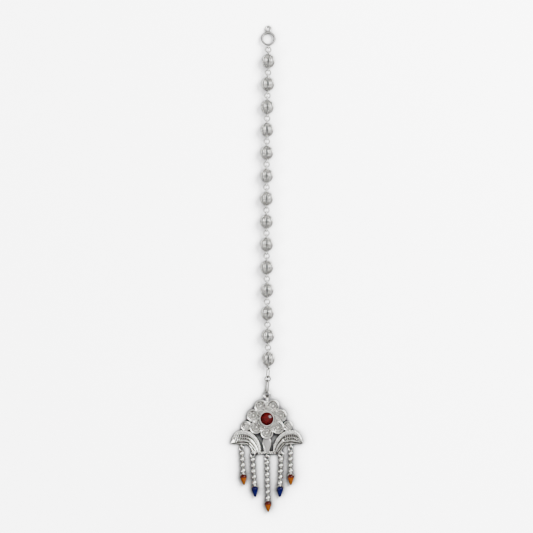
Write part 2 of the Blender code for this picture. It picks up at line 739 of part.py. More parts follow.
def make_head(eye, silver):
    """The jump ring above the first ball and the end ring, which comes down to rest on its tip."""
    middle, loop, tip = end_ring_reach()
    length = 2 * CHAIN_RING_RADIUS + tip
    drop = CHAIN_HEIGHT - END_LOOP_WIRE / 2
    direction = Vector((0, math.sqrt(length ** 2 - drop ** 2), -drop)) / length
    ring_place = along(eye + direction * CHAIN_RING_RADIUS, direction)
    make_object("chain_ring_00", wire_ring(CHAIN_RING_RADIUS, CHAIN_RING_WIRE, ring_place), silver)
    foot = eye + direction * 2 * CHAIN_RING_RADIUS
    main = wire_ring((END_RING_DIAMETER - END_RING_WIRE) / 2, END_RING_WIRE,
                     along(foot + direction * middle, direction), sides=END_RING_SIDES, wire_sides=6)
    eyelet = wire_ring(EYE_RADIUS, EYE_WIRE, along(foot, direction, math.pi / 2))
    top_loop = wire_ring((END_LOOP_DIAMETER - END_LOOP_WIRE) / 2, END_LOOP_WIRE,
                         along(foot + direction * loop, direction))
    fuse("end_ring", [main, eyelet, top_loop], silver)


def head_rise():
    """Rise along Y from the first ball's head eye to the end ring's tip."""
    length = 2 * CHAIN_RING_RADIUS + end_ring_reach()[2]
    drop = CHAIN_HEIGHT - END_LOOP_WIRE / 2
    return math.sqrt(length ** 2 - drop ** 2)


def last_eye():
    """Place of the last ball's foot eye in the pendant's frame."""
    bail_top = bail_ring_centre() + Vector((0, bail_ring_radius(), 0))
    side = chain_side(1.0)
    climb = CHAIN_HEIGHT - bail_top.z
    rise = math.sqrt(lower_chain_length() ** 2 - side ** 2 - climb ** 2)
    return Vector((side, bail_top.y + rise, CHAIN_HEIGHT))


def first_eye_height():
    """Y of the first ball's head eye in the pendant's frame."""
    return last_eye().y + BALL_LENGTH + 2 * EYE_STANDOFF + (BALL_COUNT - 1) * BALL_PITCH


def lowest_point():
    """Y of the longest strand's drop tip in the pendant's frame."""
    tips = []
    for _, carrier, section, lean, beads, _ in STRANDS:
        reach = drop_centre(beads) + DROP_LENGTH - DROP_DIAMETER / 2
        tips.append(hanger_hole(carrier, section).y + strand_direction(lean, beads).y * reach)
    return min(tips)


def flower_origin():
    """Where the flower's middle lies once the whole jewel is centred on the origin."""
    top = first_eye_height() + head_rise()
    return Vector((0, -(top + lowest_point()) / 2, 0))


def make_chain(origin, silver):
    """The balls and the jump rings between them, from the head to the foot."""
    foot_eye = origin + last_eye()
    last_y = foot_eye.y + EYE_STANDOFF + BALL_LENGTH / 2
    plain = make_ball("ball_01", math.pi / 2, silver)
    turned_foot = make_ball(f"ball_{BALL_COUNT:02d}", 0.0, silver)
    centres = []
    for number in range(1, BALL_COUNT + 1):
        share = (number - 1) / (BALL_COUNT - 1)
        y = last_y + (BALL_COUNT - number) * BALL_PITCH
        centres.append(Vector((chain_side(share), y, CHAIN_HEIGHT)))
    for number, centre in enumerate(centres, start=1):
        if number == 1:
            ball = plain
        elif number == BALL_COUNT:
            ball = turned_foot
        else:
            ball = bpy.data.objects.new(f"ball_{number:02d}", plain.data)
            bpy.context.scene.collection.objects.link(ball)
        ball.location = centre
    for number, (upper, lower) in enumerate(zip(centres, centres[1:]), start=1):
        place = along((upper + lower) / 2, (0, 1, 0))
        ring = wire_ring(CHAIN_RING_RADIUS, CHAIN_RING_WIRE, place)
        make_object(f"chain_ring_{number:02d}", ring, silver)
    return centres


def main():
    """Build the whole jewel."""
    clear_scene()
    silver = make_material("silver", (0.78, 0.77, 0.75), 0.28, 1.0)
    red = make_material("red_stone", (0.45, 0.01, 0.02), 0.08, 0.0)
    glass = {
        "orange": make_material("orange_drop", (0.72, 0.16, 0.02), 0.12, 0.0),
        "blue": make_material("blue_drop", (0.01, 0.02, 0.35), 0.12, 0.0),
    }
    origin = flower_origin()
    make_pendant(origin, silver)
    make_centre_stone(origin, red)
    for row in STRANDS:
        make_strand(origin, row, silver, glass)
    centres = make_chain(origin, silver)
    bail_top = origin + bail_ring_centre() + Vector((0, bail_ring_radius(), 0))
    foot_hook = origin + last_eye()
    hook_in = hook_length(BAIL_LINK_WIRE, BAIL_RING_WIRE)
    direction = (bail_top - foot_hook).normalized()
    make_lower_links(foot_hook, bail_top + direction * hook_in, silver)
    head_eye = centres[0] + Vector((0, BALL_LENGTH / 2 + EYE_STANDOFF, 0))
    make_head(head_eye, silver)


main()
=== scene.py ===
"""Dress the maang tikka: its silver chain of pierced balls, its pendant, its bead strands and its stones.

Each operator models one kind of piece around the loaded frame. Lengths are in metres, or in millimetres
where a table says so. +Y runs up the chain, +Z points up from the surface that the jewel lies on, and the
pendant's zero is its flower's middle.
"""
import json
import math

import bpy
from mathutils import Matrix, Vector


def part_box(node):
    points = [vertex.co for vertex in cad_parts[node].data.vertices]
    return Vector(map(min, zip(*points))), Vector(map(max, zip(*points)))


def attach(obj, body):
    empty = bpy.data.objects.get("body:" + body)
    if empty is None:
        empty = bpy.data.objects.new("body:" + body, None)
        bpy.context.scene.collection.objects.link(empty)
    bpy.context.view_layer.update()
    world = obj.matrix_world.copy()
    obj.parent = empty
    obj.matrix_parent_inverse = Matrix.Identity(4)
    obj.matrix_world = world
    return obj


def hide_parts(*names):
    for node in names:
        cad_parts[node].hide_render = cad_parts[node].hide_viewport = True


bl_info = {
    "name": "Maang Tikka",
    "version": (1, 0, 0),
    "blender": (4, 5, 0),
    "location": "3D View > Sidebar > Tikka",
    "description": "Models the pieces of a silver forehead jewel round its frame",
    "category": "Object",
}

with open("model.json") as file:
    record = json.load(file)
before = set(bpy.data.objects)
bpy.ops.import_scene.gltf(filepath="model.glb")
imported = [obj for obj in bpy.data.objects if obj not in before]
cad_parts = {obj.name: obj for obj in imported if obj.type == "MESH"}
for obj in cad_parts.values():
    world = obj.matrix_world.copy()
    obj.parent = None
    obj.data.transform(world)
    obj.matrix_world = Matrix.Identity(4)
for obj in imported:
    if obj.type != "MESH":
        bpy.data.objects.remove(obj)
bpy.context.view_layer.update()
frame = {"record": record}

MM = 0.001
TURN = 2 * math.pi
UP = Vector((0, 0, 1))
ROOT = "root"
NO_TURN = Matrix.Identity(4)
MERGE_DISTANCE = 0.001 * MM


def node_middle(node):
    """Middle of a node's box."""
    low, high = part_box(node)
    return (Vector(low) + Vector(high)) / 2


# The flower's middle, on the surface the jewel lies on
FLOWER = Vector(frame["record"]["mounts"][0]["pos_m"])

# Twisted wires: distance between their points and length of one twist
ROPE_STEP = 0.08 * MM
ROPE_PITCH = 0.50 * MM
FINE_STEP = 0.075 * MM
FINE_PITCH = 0.42 * MM

# Balls and the gaps in their walls, whose width as a turn grows a little towards the poles
BALL_COUNT = 14
BALL_RADIUS = 2.45 * MM
BALL_HALF_LENGTH = 2.60 * MM
BALL_WALL = 0.30 * MM
BALL_RINGS = 24
SHELL_STAND = -0.20 * MM
GAP_COUNT = 8
GAP_SECTOR = TURN / GAP_COUNT
GAP_END = math.radians(56)
GAP_HALF_TURN = math.radians(12)
GAP_FACES = 8
GAP_SHARE = 0.5
GAP_SLACK = 0.98
GAP_STEPS = 18
POLE_LEAST = 0.45
POLE_SPREAD = 0.3
EDGE_STAND = -0.17 * MM
EDGE_INSET = math.radians(2.7)
SEAM_STAND = -0.20 * MM
SEAM_DEGREES = range(-60, 61, 2)
COLLAR_RADIUS = 0.80 * MM
COLLAR_WIRE = 0.14 * MM
KNOB_RADIUS = 0.55 * MM
KNOB_HEIGHT = 0.22 * MM
KNOB_SINK = 0.10 * MM

# Eyes and jump rings, whose cut ends lie at another turn in each ring, in degrees
EYE_REACH = 3.16 * MM
EYE_RADIUS = 0.54 * MM
EYE_WIRE = 0.22 * MM
RING_RADIUS = 0.96 * MM
RING_WIRE = 0.25 * MM
RING_POINTS = 36
RING_CUT = math.radians(3)
RING_FIRST_SPIN = 35
RING_NEXT_SPIN = 47

# Lower links: node, length, width and wire in mm, roll in degrees
LINKS = (
    ("long_link", 4.0, 2.2, 0.23, 62),
    ("joint_ring", 2.5, 2.5, 0.25, -12),
    ("bail_link", 5.2, 2.4, 0.25, 64),
)

# End ring
END_RING_RADIUS = 2.25 * MM
END_RING_WIRE = 0.40 * MM
END_LOOP_RADIUS = 0.95 * MM
END_LOOP_WIRE = 0.25 * MM
END_RING_MIDDLE = 3.16 * MM
END_LOOP_MIDDLE = 6.78 * MM
END_RING_TIP = 7.98 * MM

# Petals, with outlines as radius and height in mm, and rays as count, then radius and height of both ends
PETAL_COUNT = 7
PETAL_REACH = 5.05 * MM
PETAL_RADIUS = 2.3 * MM
PETAL_FLOOR = 0.90 * MM
PETAL_CUP = (
    (0.0, 0.0), (1.65, 0.0), (1.77, 0.12), (2.20, 1.30), (2.30, 1.50), (2.27, 1.62), (2.19, 1.69),
    (2.10, 1.70), (2.01, 1.65), (1.96, 1.52), (1.93, 1.18), (1.60, 1.00), (1.00, 0.92), (0.0, 0.90),
)
PETAL_ROPES = ((1.70, 1.16), (1.20, 1.06))
PETAL_RAYS = ((18, 1.24, 1.12, 1.68, 1.20), (10, 0.86, 1.05, 1.08, 1.08))
PETAL_SEED_RADIUS = 0.46 * MM
PETAL_SEED_HEIGHT = 0.56 * MM

# Petal rims, which sink towards the stone
RIM_REACH = math.radians(102)
RIM_FADE = math.radians(36)
RIM_LOW = 1.16 * MM
RIM_MIDDLE = 1.47 * MM
RIM_WIRE = 0.27 * MM
RIM_RADIUS = PETAL_RADIUS - 0.25 * MM
RIM_STEPS = 40

# Flower's back plate and bezel, as radius and height in mm
BACK_OUTLINE = ((0.0, 0.0), (3.42, 0.0), (3.50, 0.08), (3.50, 0.95), (3.45, 1.00), (2.56, 1.00), (2.56, 0.50),
                (0.0, 0.50))
BEZEL_OUTLINE = ((2.66, 0.60), (2.66, 2.38), (2.60, 2.48), (2.52, 2.50), (2.38, 2.47), (2.35, 2.40),
                 (2.40, 2.34), (2.40, 0.60))

# Small loops and twisted band round the bezel
CORONA_COUNT = 21
CORONA_REACH = 3.02 * MM
CORONA_HEIGHT = 1.72 * MM
CORONA_RADIUS = 0.32 * MM
CORONA_WIRE = 0.085 * MM
BAND_RADIUS = 2.80 * MM
BAND_HEIGHT = 1.95 * MM
BAND_POINTS = 240
BAND_PITCH = 0.45 * MM

# Centre stone and its facets
STONE_RADIUS = 2.3 * MM
STONE_SIDES = 64
STONE_FACETS = 8
STONE_TABLE = 1.25 * MM
STONE_TOP = 3.20 * MM
STONE_GIRDLE_TOP = 2.35 * MM
STONE_GIRDLE_FOOT = 2.15 * MM
STONE_CULET = 0.70 * MM
STONE_STAR = 0.90 * MM
STONE_STAR_SLOPE = math.radians(20)
STONE_TURN = math.radians(15)
STONE_BACK_SLOPE = math.radians(38)
STONE_LOWER_SLOPE = math.radians(43)
STONE_STEEPER = math.radians(9)
STONE_SHIFT = 0.02 * MM
STONE_EDGE = math.radians(3)

# Side discs, with the outline as radius and height in mm
DISC_PLACE = Vector((7.553 * MM, -2.642 * MM, 0))
DISC_FLOOR = 0.70 * MM
DISC_OUTLINE = ((0.0, 0.0), (1.69, 0.0), (1.75, 0.06), (1.75, 0.95), (1.70, 1.06), (1.60, 1.10),
                (1.49, 1.05), (1.43, 0.92), (1.39, 0.70), (0.0, 0.70))
DISC_SEED_RADIUS = 0.34 * MM
DISC_SEED_HEIGHT = 0.40 * MM
SPIRAL_START = 1.25 * MM
SPIRAL_FALL = 0.90 * MM
SPIRAL_TURNS = 2.5
SPIRAL_STAND = 0.08 * MM
SPIRAL_POINTS = 100

# Bail, its stem and a black patch under its ring that paints the shadow seen through the ring's hole
BAIL_MIDDLE = Vector((0, 8.72 * MM, 1.2 * MM))
BAIL_RADIUS = 1.17 * MM
BAIL_WIRE = 0.28 * MM
STEM_LOW = 4.89 * MM
STEM_HIGH = 7.45 * MM
STEM_FOOT = 0.65 * MM
STEM_TOP = 1.75 * MM
STEM_HALF_LOW = 0.65 * MM
STEM_HALF_HIGH = 0.40 * MM
STEM_BEVEL = 0.15 * MM
STEM_SEED_RADIUS = 0.45 * MM
STEM_SEED_HEIGHT = 0.40 * MM
SHADOW_PATCH_LEFT = -0.30 * MM
SHADOW_PATCH_RIGHT = 0.70 * MM
SHADOW_PATCH_LOW = 7.05 * MM
SHADOW_PATCH_HIGH = 8.60 * MM
SHADOW_PATCH_THICKNESS = 0.30 * MM
SHADOW_PATCH_BEVEL = 0.05 * MM

# Wings
WING_ROOT = 2.3 * MM
WING_SPAN = 10.7 * MM
WING_FOOT = -12.742 * MM
WING_RISE = 8.6 * MM
WING_LEDGE = 1.7 * MM
WING_STEPS = 96
WING_EDGE = math.radians(50)

# Wing sections from the tip to the root, as shares of the span, the rise and the ledge's width.
# Columns: outer edge across and up, inner edge across and up, ledge.
WING_SECTIONS = (
    (1.000, 0.480, 0.985, 0.445, 0.08),
    (0.935, 0.700, 0.870, 0.490, 0.30),
    (0.850, 0.895, 0.757, 0.525, 0.62),
    (0.729, 0.985, 0.664, 0.548, 0.78),
    (0.620, 1.000, 0.592, 0.555, 0.78),
    (0.450, 0.970, 0.462, 0.536, 0.74),
    (0.280, 0.865, 0.364, 0.468, 0.62),
    (0.159, 0.712, 0.280, 0.365, 0.60),
    (0.065, 0.520, 0.206, 0.260, 0.72),
    (0.014, 0.315, 0.150, 0.155, 0.52),
    (0.005, 0.150, 0.103, 0.062, 0.40),
    (0.030, 0.000, 0.072, 0.000, 0.10),
)

# Wing outline across, from the outer foot over the top to the ledge's foot: place across (0 to 1 over
# the leaf, 1 to 2 over the ledge) and height in mm at the comb, then both past the comb.
WING_PROFILE = (
    (0.000, 0.00, 0.000, 0.00), (0.000, 0.70, 0.000, 0.70), (0.005, 1.15, 0.005, 1.15),
    (0.025, 1.38, 0.030, 1.38), (0.100, 1.48, 0.120, 1.48), (0.200, 1.50, 0.240, 1.50),
    (0.310, 1.46, 0.350, 1.46), (0.375, 1.36, 0.420, 1.34), (0.400, 1.20, 0.445, 1.10),
    (0.415, 0.72, 0.455, 0.60), (0.435, 0.62, 0.470, 0.50), (0.460, 0.62, 0.530, 0.50),
    (0.540, 0.62, 0.545, 0.60), (0.630, 0.62, 0.555, 1.10), (0.730, 0.62, 0.590, 1.26),
    (0.830, 0.62, 0.640, 1.33), (0.865, 0.62, 0.690, 1.36), (0.900, 0.72, 0.740, 1.38),
    (0.915, 1.20, 0.770, 1.36), (0.935, 1.34, 0.800, 1.32), (0.985, 1.42, 0.830, 1.26),
    (1.050, 1.36, 0.855, 1.14), (1.100, 1.22, 0.875, 0.95), (1.120, 0.70, 0.890, 0.60),
    (1.130, 0.25, 0.905, 0.30), (1.470, 0.25, 1.130, 0.30), (1.510, 0.62, 1.210, 0.30),
    (1.550, 0.72, 1.350, 0.30), (1.620, 0.70, 1.500, 0.30), (1.720, 0.72, 1.800, 0.30),
    (1.800, 0.86, 1.850, 0.70), (1.860, 0.92, 1.880, 0.92), (1.930, 0.86, 1.930, 0.86),
    (1.990, 0.60, 1.990, 0.60), (2.000, 0.00, 2.000, 0.00),
)

# At both ends the leaf levels out: places across, shares along, its height and that of its ends in mm
CREST_FROM = 0.07
CREST_TO = 0.985
CREST_TIP = 0.10
CREST_ROOT = 0.08
CREST_HEIGHT = 1.45
CREST_END_HEIGHT = 1.38

# Strips of the wing's outline painted black as shade, in its comb trough and slit, as first and last row, at
# the comb and past it
PAINTED_SHADE_AT_COMB = ((8, 17), (22, 25))
PAINTED_SHADE_PAST_COMB = ((8, 12), (22, 29))
PAINTED_SHADE_END = 0.94

# Comb in the wing's outer half, as shares along and across, with its bars
COMB_START = 0.12
COMB_END = 0.50
COMB_FADE = 0.05
COMB_FIRST = 0.10
COMB_LAST = COMB_END + 0.02
COMB_PITCH = 0.70 * MM
COMB_MEASURED = 0.48
COMB_OUTER = 0.40
COMB_INNER = 0.92
COMB_HEIGHT = 1.02 * MM
COMB_WIRE = 0.14 * MM

# Smooth wires along the wing: across, height, from share, to share, radius
COMB_MIDDLE_WIRE = (0.66, 1.08 * MM, 0.14, COMB_END + COMB_FADE, 0.13 * MM)
WING_STRIPS = ((1.18, 0.70 * MM, 0.54, 0.88, 0.17 * MM), (1.89, 0.86 * MM, 0.56, 0.86, 0.13 * MM))

# Twisted wires along the wing: across, height
WING_ROPES = ((0.05, 1.30 * MM), (0.24, 1.39 * MM))
WING_ROPE_FROM = 0.05
WING_ROPE_TO = 0.95
WING_ROPE_POINTS = 200

# Tear plate, as shares down its length and of its half width
TEAR_TOP = -6.864 * MM
TEAR_FOOT = -12.232 * MM
TEAR_HALF_WIDTH = 1.5 * MM
TEAR_THICKNESS = 0.9 * MM
TEAR_OUTLINE = ((0.0, 0.35), (0.10, 0.78), (0.28, 1.0), (0.50, 0.92), (0.75, 0.62), (1.0, 0.42))
TEAR_STEPS = 30
TEAR_BEVEL = 0.12 * MM
TEAR_RIM_SHARE = 0.93
TEAR_RIM_SHIFT = 0.02 * MM
TEAR_RIM_WIRE = 0.13 * MM

# Base bar and the row of loops on it
BAR_LOW = -12.682 * MM
BAR_HIGH = -11.782 * MM
BAR_HALF_LENGTH = 2.846 * MM
BAR_THICKNESS = 0.60 * MM
BAR_BEVEL = 0.1 * MM
BAR_LOOPS = 7
BAR_LOOP_PITCH = 0.80 * MM
BAR_LOOP_HEIGHT = 0.64 * MM
BAR_LOOP_RADIUS = 0.33 * MM
BAR_LOOP_WIRE = 0.10 * MM

# Strands: number, hanger hole across and up from the flower, foot's lean, beads, stone.
STRANDS = (
    (1, -9.164 * MM, -9.893 * MM, 0.75 * MM, 4, "orange"),
    (2, -5.189 * MM, -12.081 * MM, 0.85 * MM, 5, "blue"),
    (3, 0.0, -13.242 * MM, 0.45 * MM, 7, "orange"),
    (4, 5.189 * MM, -12.081 * MM, -0.45 * MM, 5, "blue"),
    (5, 8.531 * MM, -9.851 * MM, 0.10 * MM, 4, "orange"),
)
HANGER_HEIGHT = 0.85 * MM
DROP_HEIGHT = 1.26 * MM
STRAND_RING_RADIUS = 0.8 * MM
STRAND_RING_WIRE = 0.20 * MM
FIRST_BEAD = 2.57 * MM
BEAD_PITCH = 2.10 * MM
BEAD_RADIUS = 0.95 * MM
BEAD_DEGREES = range(12, 172, 12)
BEAD_NECK = 0.22 * MM
BEAD_NECK_HALF = 0.10 * MM
DROP_PITCH = 2.29 * MM

# Caps: bowls whose lip dips in front and behind and reaches down at the sides
CAP_RADIUS = 1.52 * MM
CAP_BORE = 1.30 * MM
CAP_ANGLE = math.radians(56)
CAP_DIP = math.radians(40)
CAP_CLAW = math.radians(82)
CAP_CLAW_POWER = 1.6
CAP_ROWS = 10
CAP_NECK = 0.42 * MM
CAP_NECK_START = 0.06 * MM
CAP_NECK_END = 0.10 * MM

# Drops: round above their widest point, straight below it
DROP_RADIUS = 1.2 * MM
DROP_LENGTH = 4.2 * MM
DROP_TAPER = 0.76
DROP_ROWS = 12

# Kinds of silver. Columns: roughness, how strongly painted shade and patina darken its recesses, colour if it
# isn't the panel's, reach of a recess in mm, openness where the painted shade and patina are full and where
# they end, relief, scale of the relief.
SILVERS = {
    "polished silver": (0.16, 0.85, None, 0.8, 0.35, 0.85, 0.05, 2500.0),
    "worked silver": (0.26, 0.90, None, 0.7, 0.40, 0.90, 0.15, 2500.0),
    "pale silver": (0.48, 0.20, (0.54, 0.53, 0.495), 0.7, 0.30, 0.85, 0.15, 2500.0),
    "bright silver": (0.22, 0.15, (0.95, 0.94, 0.89), 0.8, 0.35, 0.85, 0.05, 2500.0),
    # Flat black that paints shade and shadow: the wing's slit and comb trough, and the patch under the bail
    # ring.
    "black silver": (0.55, 1.0, (0.05, 0.048, 0.045), 0.8, 0.35, 0.85, 0.15, 2500.0),
    # Darker silver on the petal cups, the flower's back, the jump rings, links and bar: partly oxide, partly
    # painted shade.
    "oxidised silver": (0.42, 1.0, (0.44, 0.435, 0.395), 0.8, 0.40, 1.0, 0.15, 2500.0),
    "frosted silver": (0.45, 0.8, (0.36, 0.35, 0.34), 0.8, 0.35, 0.85, 0.60, 5000.0),
}
SHADE_AND_PATINA_SAMPLES = 6
POLISH_PATCHES = 900.0
PATCHES_SMOOTHER = 0.8
PATCHES_ROUGHER = 1.3
RELIEF_DEPTH = 0.05 * MM

# Stone and drops: place along the colour's run and colour, None for the panel's, then shine and clouds
GLASSES = {
    # The red stone is painted darker from its middle out to its girdle: painted shade.
    "red stone": (((0.0, None), (0.55, (0.038, 0.0008, 0.0009)), (1.0, (0.028, 0.0006, 0.0007))), 0.24, 1.5),
    "orange glass": (((0.0, (0.028, 0.0010, 0.0006)), (0.28, (0.055, 0.0028, 0.0008)), (0.42, None),
                      (0.80, (0.18, 0.055, 0.004)), (1.0, (0.15, 0.075, 0.015))), 0.16, 0.0),
    "blue glass": (((0.0, (0.0010, 0.0006, 0.014)), (0.30, (0.0018, 0.0012, 0.045)), (0.55, None),
                    (0.9, (0.0014, 0.0011, 0.040)), (1.0, (0.003, 0.004, 0.03))), 0.12, 0.0),
}
GLASS_ROUGHNESS = 0.05
GLASS_INDEX = 1.52
GLASS_CLOUDS = 1100.0

# Part of a noise's range that is used
NOISE_LOW = 0.3
NOISE_HIGH = 0.7

# Photo frame
PHOTO_SIZE = 533
PHOTO_SCALE = 0.36 * MM
PHOTO_MIDDLE = Vector((-0.13 * MM, 0.90 * MM, 0))
CAMERA_HEIGHT = 2.0
CAMERA_SENSOR = 36.0
CAMERA_FAR = 20.0

# Key light from the upper right and a small fill light from the lower left
KEY_PLACE = (0.50, 0.34, 0.70)
KEY_SIZE = 0.55
KEY_POWER = 18.6
FILL_PLACE = (-0.55, -0.30, 0.42)
FILL_SIZE = 0.22
FILL_POWER = 2.4

# Floor: how bright the camera and the silver see it, and its shade near the jewel
FLOOR_SIZE = 3.0
FLOOR_HEIGHT = -0.02 * MM
FLOOR_ROUGHNESS = 0.9
FLOOR_SEEN = 3.3
FLOOR_REFLECTED = 0.20
FLOOR_SHADE_REACH = 6 * MM
FLOOR_SHADE_DEPTH = 4.3
FLOOR_SHADE_CHAIN = 1.0
FLOOR_SHADE_LEAST = 0.015
FLOOR_CHAIN_LEAST = 0.16
FLOOR_CLOSE_REACH = 1.8 * MM
FLOOR_CLOSE_DEPTH = 2.2
FLOOR_CLOSE_CHAIN = 1.0
FLOOR_CLOSE_STRANDS = 0.0
FLOOR_CHAIN_PLACE = FLOWER.y + 3 * PETAL_REACH
FLOOR_SIDE_FROM = 2 * PETAL_RADIUS
FLOOR_SIDE_TO = 3.5 * PETAL_RADIUS
FLOOR_SAMPLES = 12

# Surroundings: sine of the height above the horizon, grey
SKY = ((0.0, 0.04), (0.40, 0.10), (0.68, 0.30), (0.90, 0.62), (1.0, 0.58))
SKY_BLUER = 1.01
SKY_STRENGTH = 1.6


class TikkaFinish(bpy.types.PropertyGroup):
    """Colours and finish of the silver and the stones."""

    silver: bpy.props.FloatVectorProperty(
        name="Silver", description="Colour of the polished silver", subtype="COLOR",
        default=(0.90, 0.89, 0.84), min=0, max=1)
    # Painted shade and patina: the colour that the silver's recesses are darkened towards.
    shade_and_patina_colour: bpy.props.FloatVectorProperty(
        name="Shade and patina", description="Colour of the oxidised recesses", subtype="COLOR",
        default=(0.085, 0.080, 0.068), min=0, max=1)
    red: bpy.props.FloatVectorProperty(
        name="Red stone", description="Colour of the centre stone", subtype="COLOR",
        default=(0.041, 0.0009, 0.0011), min=0, max=1)
    orange: bpy.props.FloatVectorProperty(
        name="Orange drop", description="Colour of the orange drops' core", subtype="COLOR",
        default=(0.24, 0.055, 0.003), min=0, max=1)
    blue: bpy.props.FloatVectorProperty(
        name="Blue drop", description="Colour of the blue drops' core", subtype="COLOR",
        default=(0.0022, 0.0016, 0.068), min=0, max=1)


class TikkaWires(bpy.types.PropertyGroup):
    """Thickness of the fine wires soldered on the silver."""

    edge: bpy.props.FloatProperty(
        name="Edge wire", description="Radius of the smooth wires round the gaps",
        default=0.14 * MM, min=0.05 * MM, max=0.3 * MM, unit="LENGTH", precision=6)
    rope: bpy.props.FloatProperty(
        name="Rope wire", description="Radius of one strand of the twisted wires",
        default=0.085 * MM, min=0.04 * MM, max=0.2 * MM, unit="LENGTH", precision=6)
    ray: bpy.props.FloatProperty(
        name="Ray wire", description="Radius of the straight wires in the petals",
        default=0.065 * MM, min=0.03 * MM, max=0.2 * MM, unit="LENGTH", precision=6)


def quiet():
    """Back in object mode with nothing selected."""
    if bpy.context.object is not None and bpy.context.object.mode != "OBJECT":
        bpy.ops.object.mode_set(mode="OBJECT")
    bpy.ops.object.select_all(action="DESELECT")


def only(*objects):
    """Select just these objects, with the first one active."""
    quiet()
    for obj in objects:
        obj.select_set(True)
    bpy.context.view_layer.objects.active = objects[0]


def placed(obj, place):
    """Move a piece's mesh to its place and leave the object at the origin."""
    obj.matrix_world = place
    only(obj)
    bpy.ops.object.transform_apply(location=True, rotation=True, scale=True)
    return obj


def copied(obj, place):
    """A copy of a piece with its own mesh, moved to its place."""
    only(obj)
    bpy.ops.object.duplicate()
    return placed(bpy.context.object, place)


def joined(objects):
    """Several shapes made one piece."""
    only(*objects)
    if len(objects) > 1:
        bpy.ops.object.join()
    return bpy.context.object


def painted(obj, material):
    """Give a shape one material all over."""
    obj.data.materials.clear()
    obj.data.materials.append(material)
    return obj


def smoothed(obj, angle=math.radians(40)):
    """Shade a shape smooth, but for its sharp edges."""
    only(obj)
    bpy.ops.object.shade_smooth_by_angle(angle=angle)
    return obj


def mended(obj, merge=True):
    """Merge a shape's doubled points and turn its faces outwards."""
    only(obj)
    bpy.ops.object.mode_set(mode="EDIT")
    bpy.ops.mesh.select_all(action="SELECT")
    if merge:
        bpy.ops.mesh.remove_doubles(threshold=MERGE_DISTANCE)
    bpy.ops.mesh.normals_make_consistent(inside=False)
    bpy.ops.object.mode_set(mode="OBJECT")
    return obj


def turned(outline, steps, material, closed=False):
    """Spin an outline of (radius, height) points round Z."""
    quiet()
    bpy.ops.mesh.primitive_circle_add(vertices=len(outline), radius=MM, fill_type="NOTHING")
    obj = bpy.context.object
    for vertex, (radius, height) in zip(obj.data.vertices, outline):
        vertex.co = (radius, 0, height)
    last = len(outline) - 1
    bpy.ops.object.mode_set(mode="EDIT")
    if not closed:
        bpy.ops.mesh.select_mode(type="EDGE")
        bpy.ops.mesh.select_all(action="DESELECT")
        bpy.ops.object.mode_set(mode="OBJECT")
        for edge in obj.data.edges:
            edge.select = set(edge.vertices) == {0, last}
        bpy.ops.object.mode_set(mode="EDIT")
        bpy.ops.mesh.delete(type="EDGE")
    bpy.ops.mesh.select_mode(type="VERT")
    bpy.ops.mesh.select_all(action="SELECT")
    bpy.ops.mesh.spin(steps=steps, angle=TURN, center=(0, 0, 0), axis=(0, 0, 1))
    mended(obj)
    return painted(smoothed(obj), material)


def in_mm(table):
    """A table of millimetres in metres."""
    return [[value * MM for value in row] for row in table]


def wired(runs, material, sides=6):
    """Lay round wires along runs of (points, radius, closed)."""
    quiet()
    bpy.ops.curve.primitive_nurbs_path_add()
    obj = bpy.context.object
    curve = obj.data
    curve.splines.clear()
    curve.dimensions = "3D"
    curve.bevel_depth = MM
    curve.bevel_resolution = (sides - 4) // 2
    curve.use_fill_caps = True
    for points, radius, closed in runs:
        spline = curve.splines.new("POLY")
        spline.points.add(len(points) - 1)
        for place, point in zip(spline.points, points):
            place.co = (*point, 1)
            place.radius = radius / MM
        spline.use_cyclic_u = closed
    only(obj)
    bpy.ops.object.convert(target="MESH")
    obj = bpy.context.object
    for polygon in obj.data.polygons:
        polygon.use_smooth = True
    return painted(obj, material)


def rope(points, up, radius, pitch, closed=False):
    """Two runs that twist round each other along a path."""
    count = len(points)
    length = [0.0]
    for index in range(1, count + (1 if closed else 0)):
        length.append(length[-1] + (points[index % count] - points[index - 1]).length)
    twists = max(1, round(length[-1] / pitch))
    runs = []
    for strand in (0, 1):
        run = []
        for index, point in enumerate(points):
            ahead = points[(index + 1) % count] if closed else points[min(index + 1, count - 1)]
            behind = points[index - 1] if closed or index else points[0]
            tangent = (ahead - behind).normalized()
            normal = up(point) if callable(up) else up
            side = tangent.cross(normal).normalized()
            normal = side.cross(tangent)
            angle = TURN * twists * length[index] / length[-1] + strand * math.pi
            run.append(point + (side * math.cos(angle) + normal * math.sin(angle)) * radius)
        runs.append((run, radius, closed))
    return runs


def way(angle):
    """The flat direction at an angle from +X towards +Y."""
    return Vector((math.cos(angle), math.sin(angle), 0))


def circle_points(radius, count, height=0.0, middle=Vector((0, 0, 0))):
    """Points round a flat circle."""
    return [middle + way(TURN * k / count) * radius + UP * height for k in range(count)]


def dense(points, step):
    """Points along a path at an even small step."""
    result = []
    for start, end in zip(points, points[1:]):
        count = max(1, round((end - start).length / step))
        result += [start.lerp(end, k / count) for k in range(count)]
    result.append(points[-1])
    return result


def grain(radius, height, foot, material, steps=16):
    """A small round grain of silver on a foot height."""
    outline = [(0.0, foot)]
    outline += [(radius * math.cos(a), foot + height * math.sin(a))
                for a in (math.radians(d) for d in (0, 22, 45, 67))]
    outline.append((0.0, foot + height))
    return turned(outline, steps, material)


def along(start, direction, roll=0.0):
    """A place whose own Y runs along a direction, rolled about it."""
    ahead = Vector(direction).normalized()
    side = ahead.cross(Vector((0, 0, 1))).normalized()
    turn = Matrix((side, ahead, side.cross(ahead))).transposed().to_4x4()
    return Matrix.Translation(start) @ turn @ Matrix.Rotation(roll, 4, "Y")


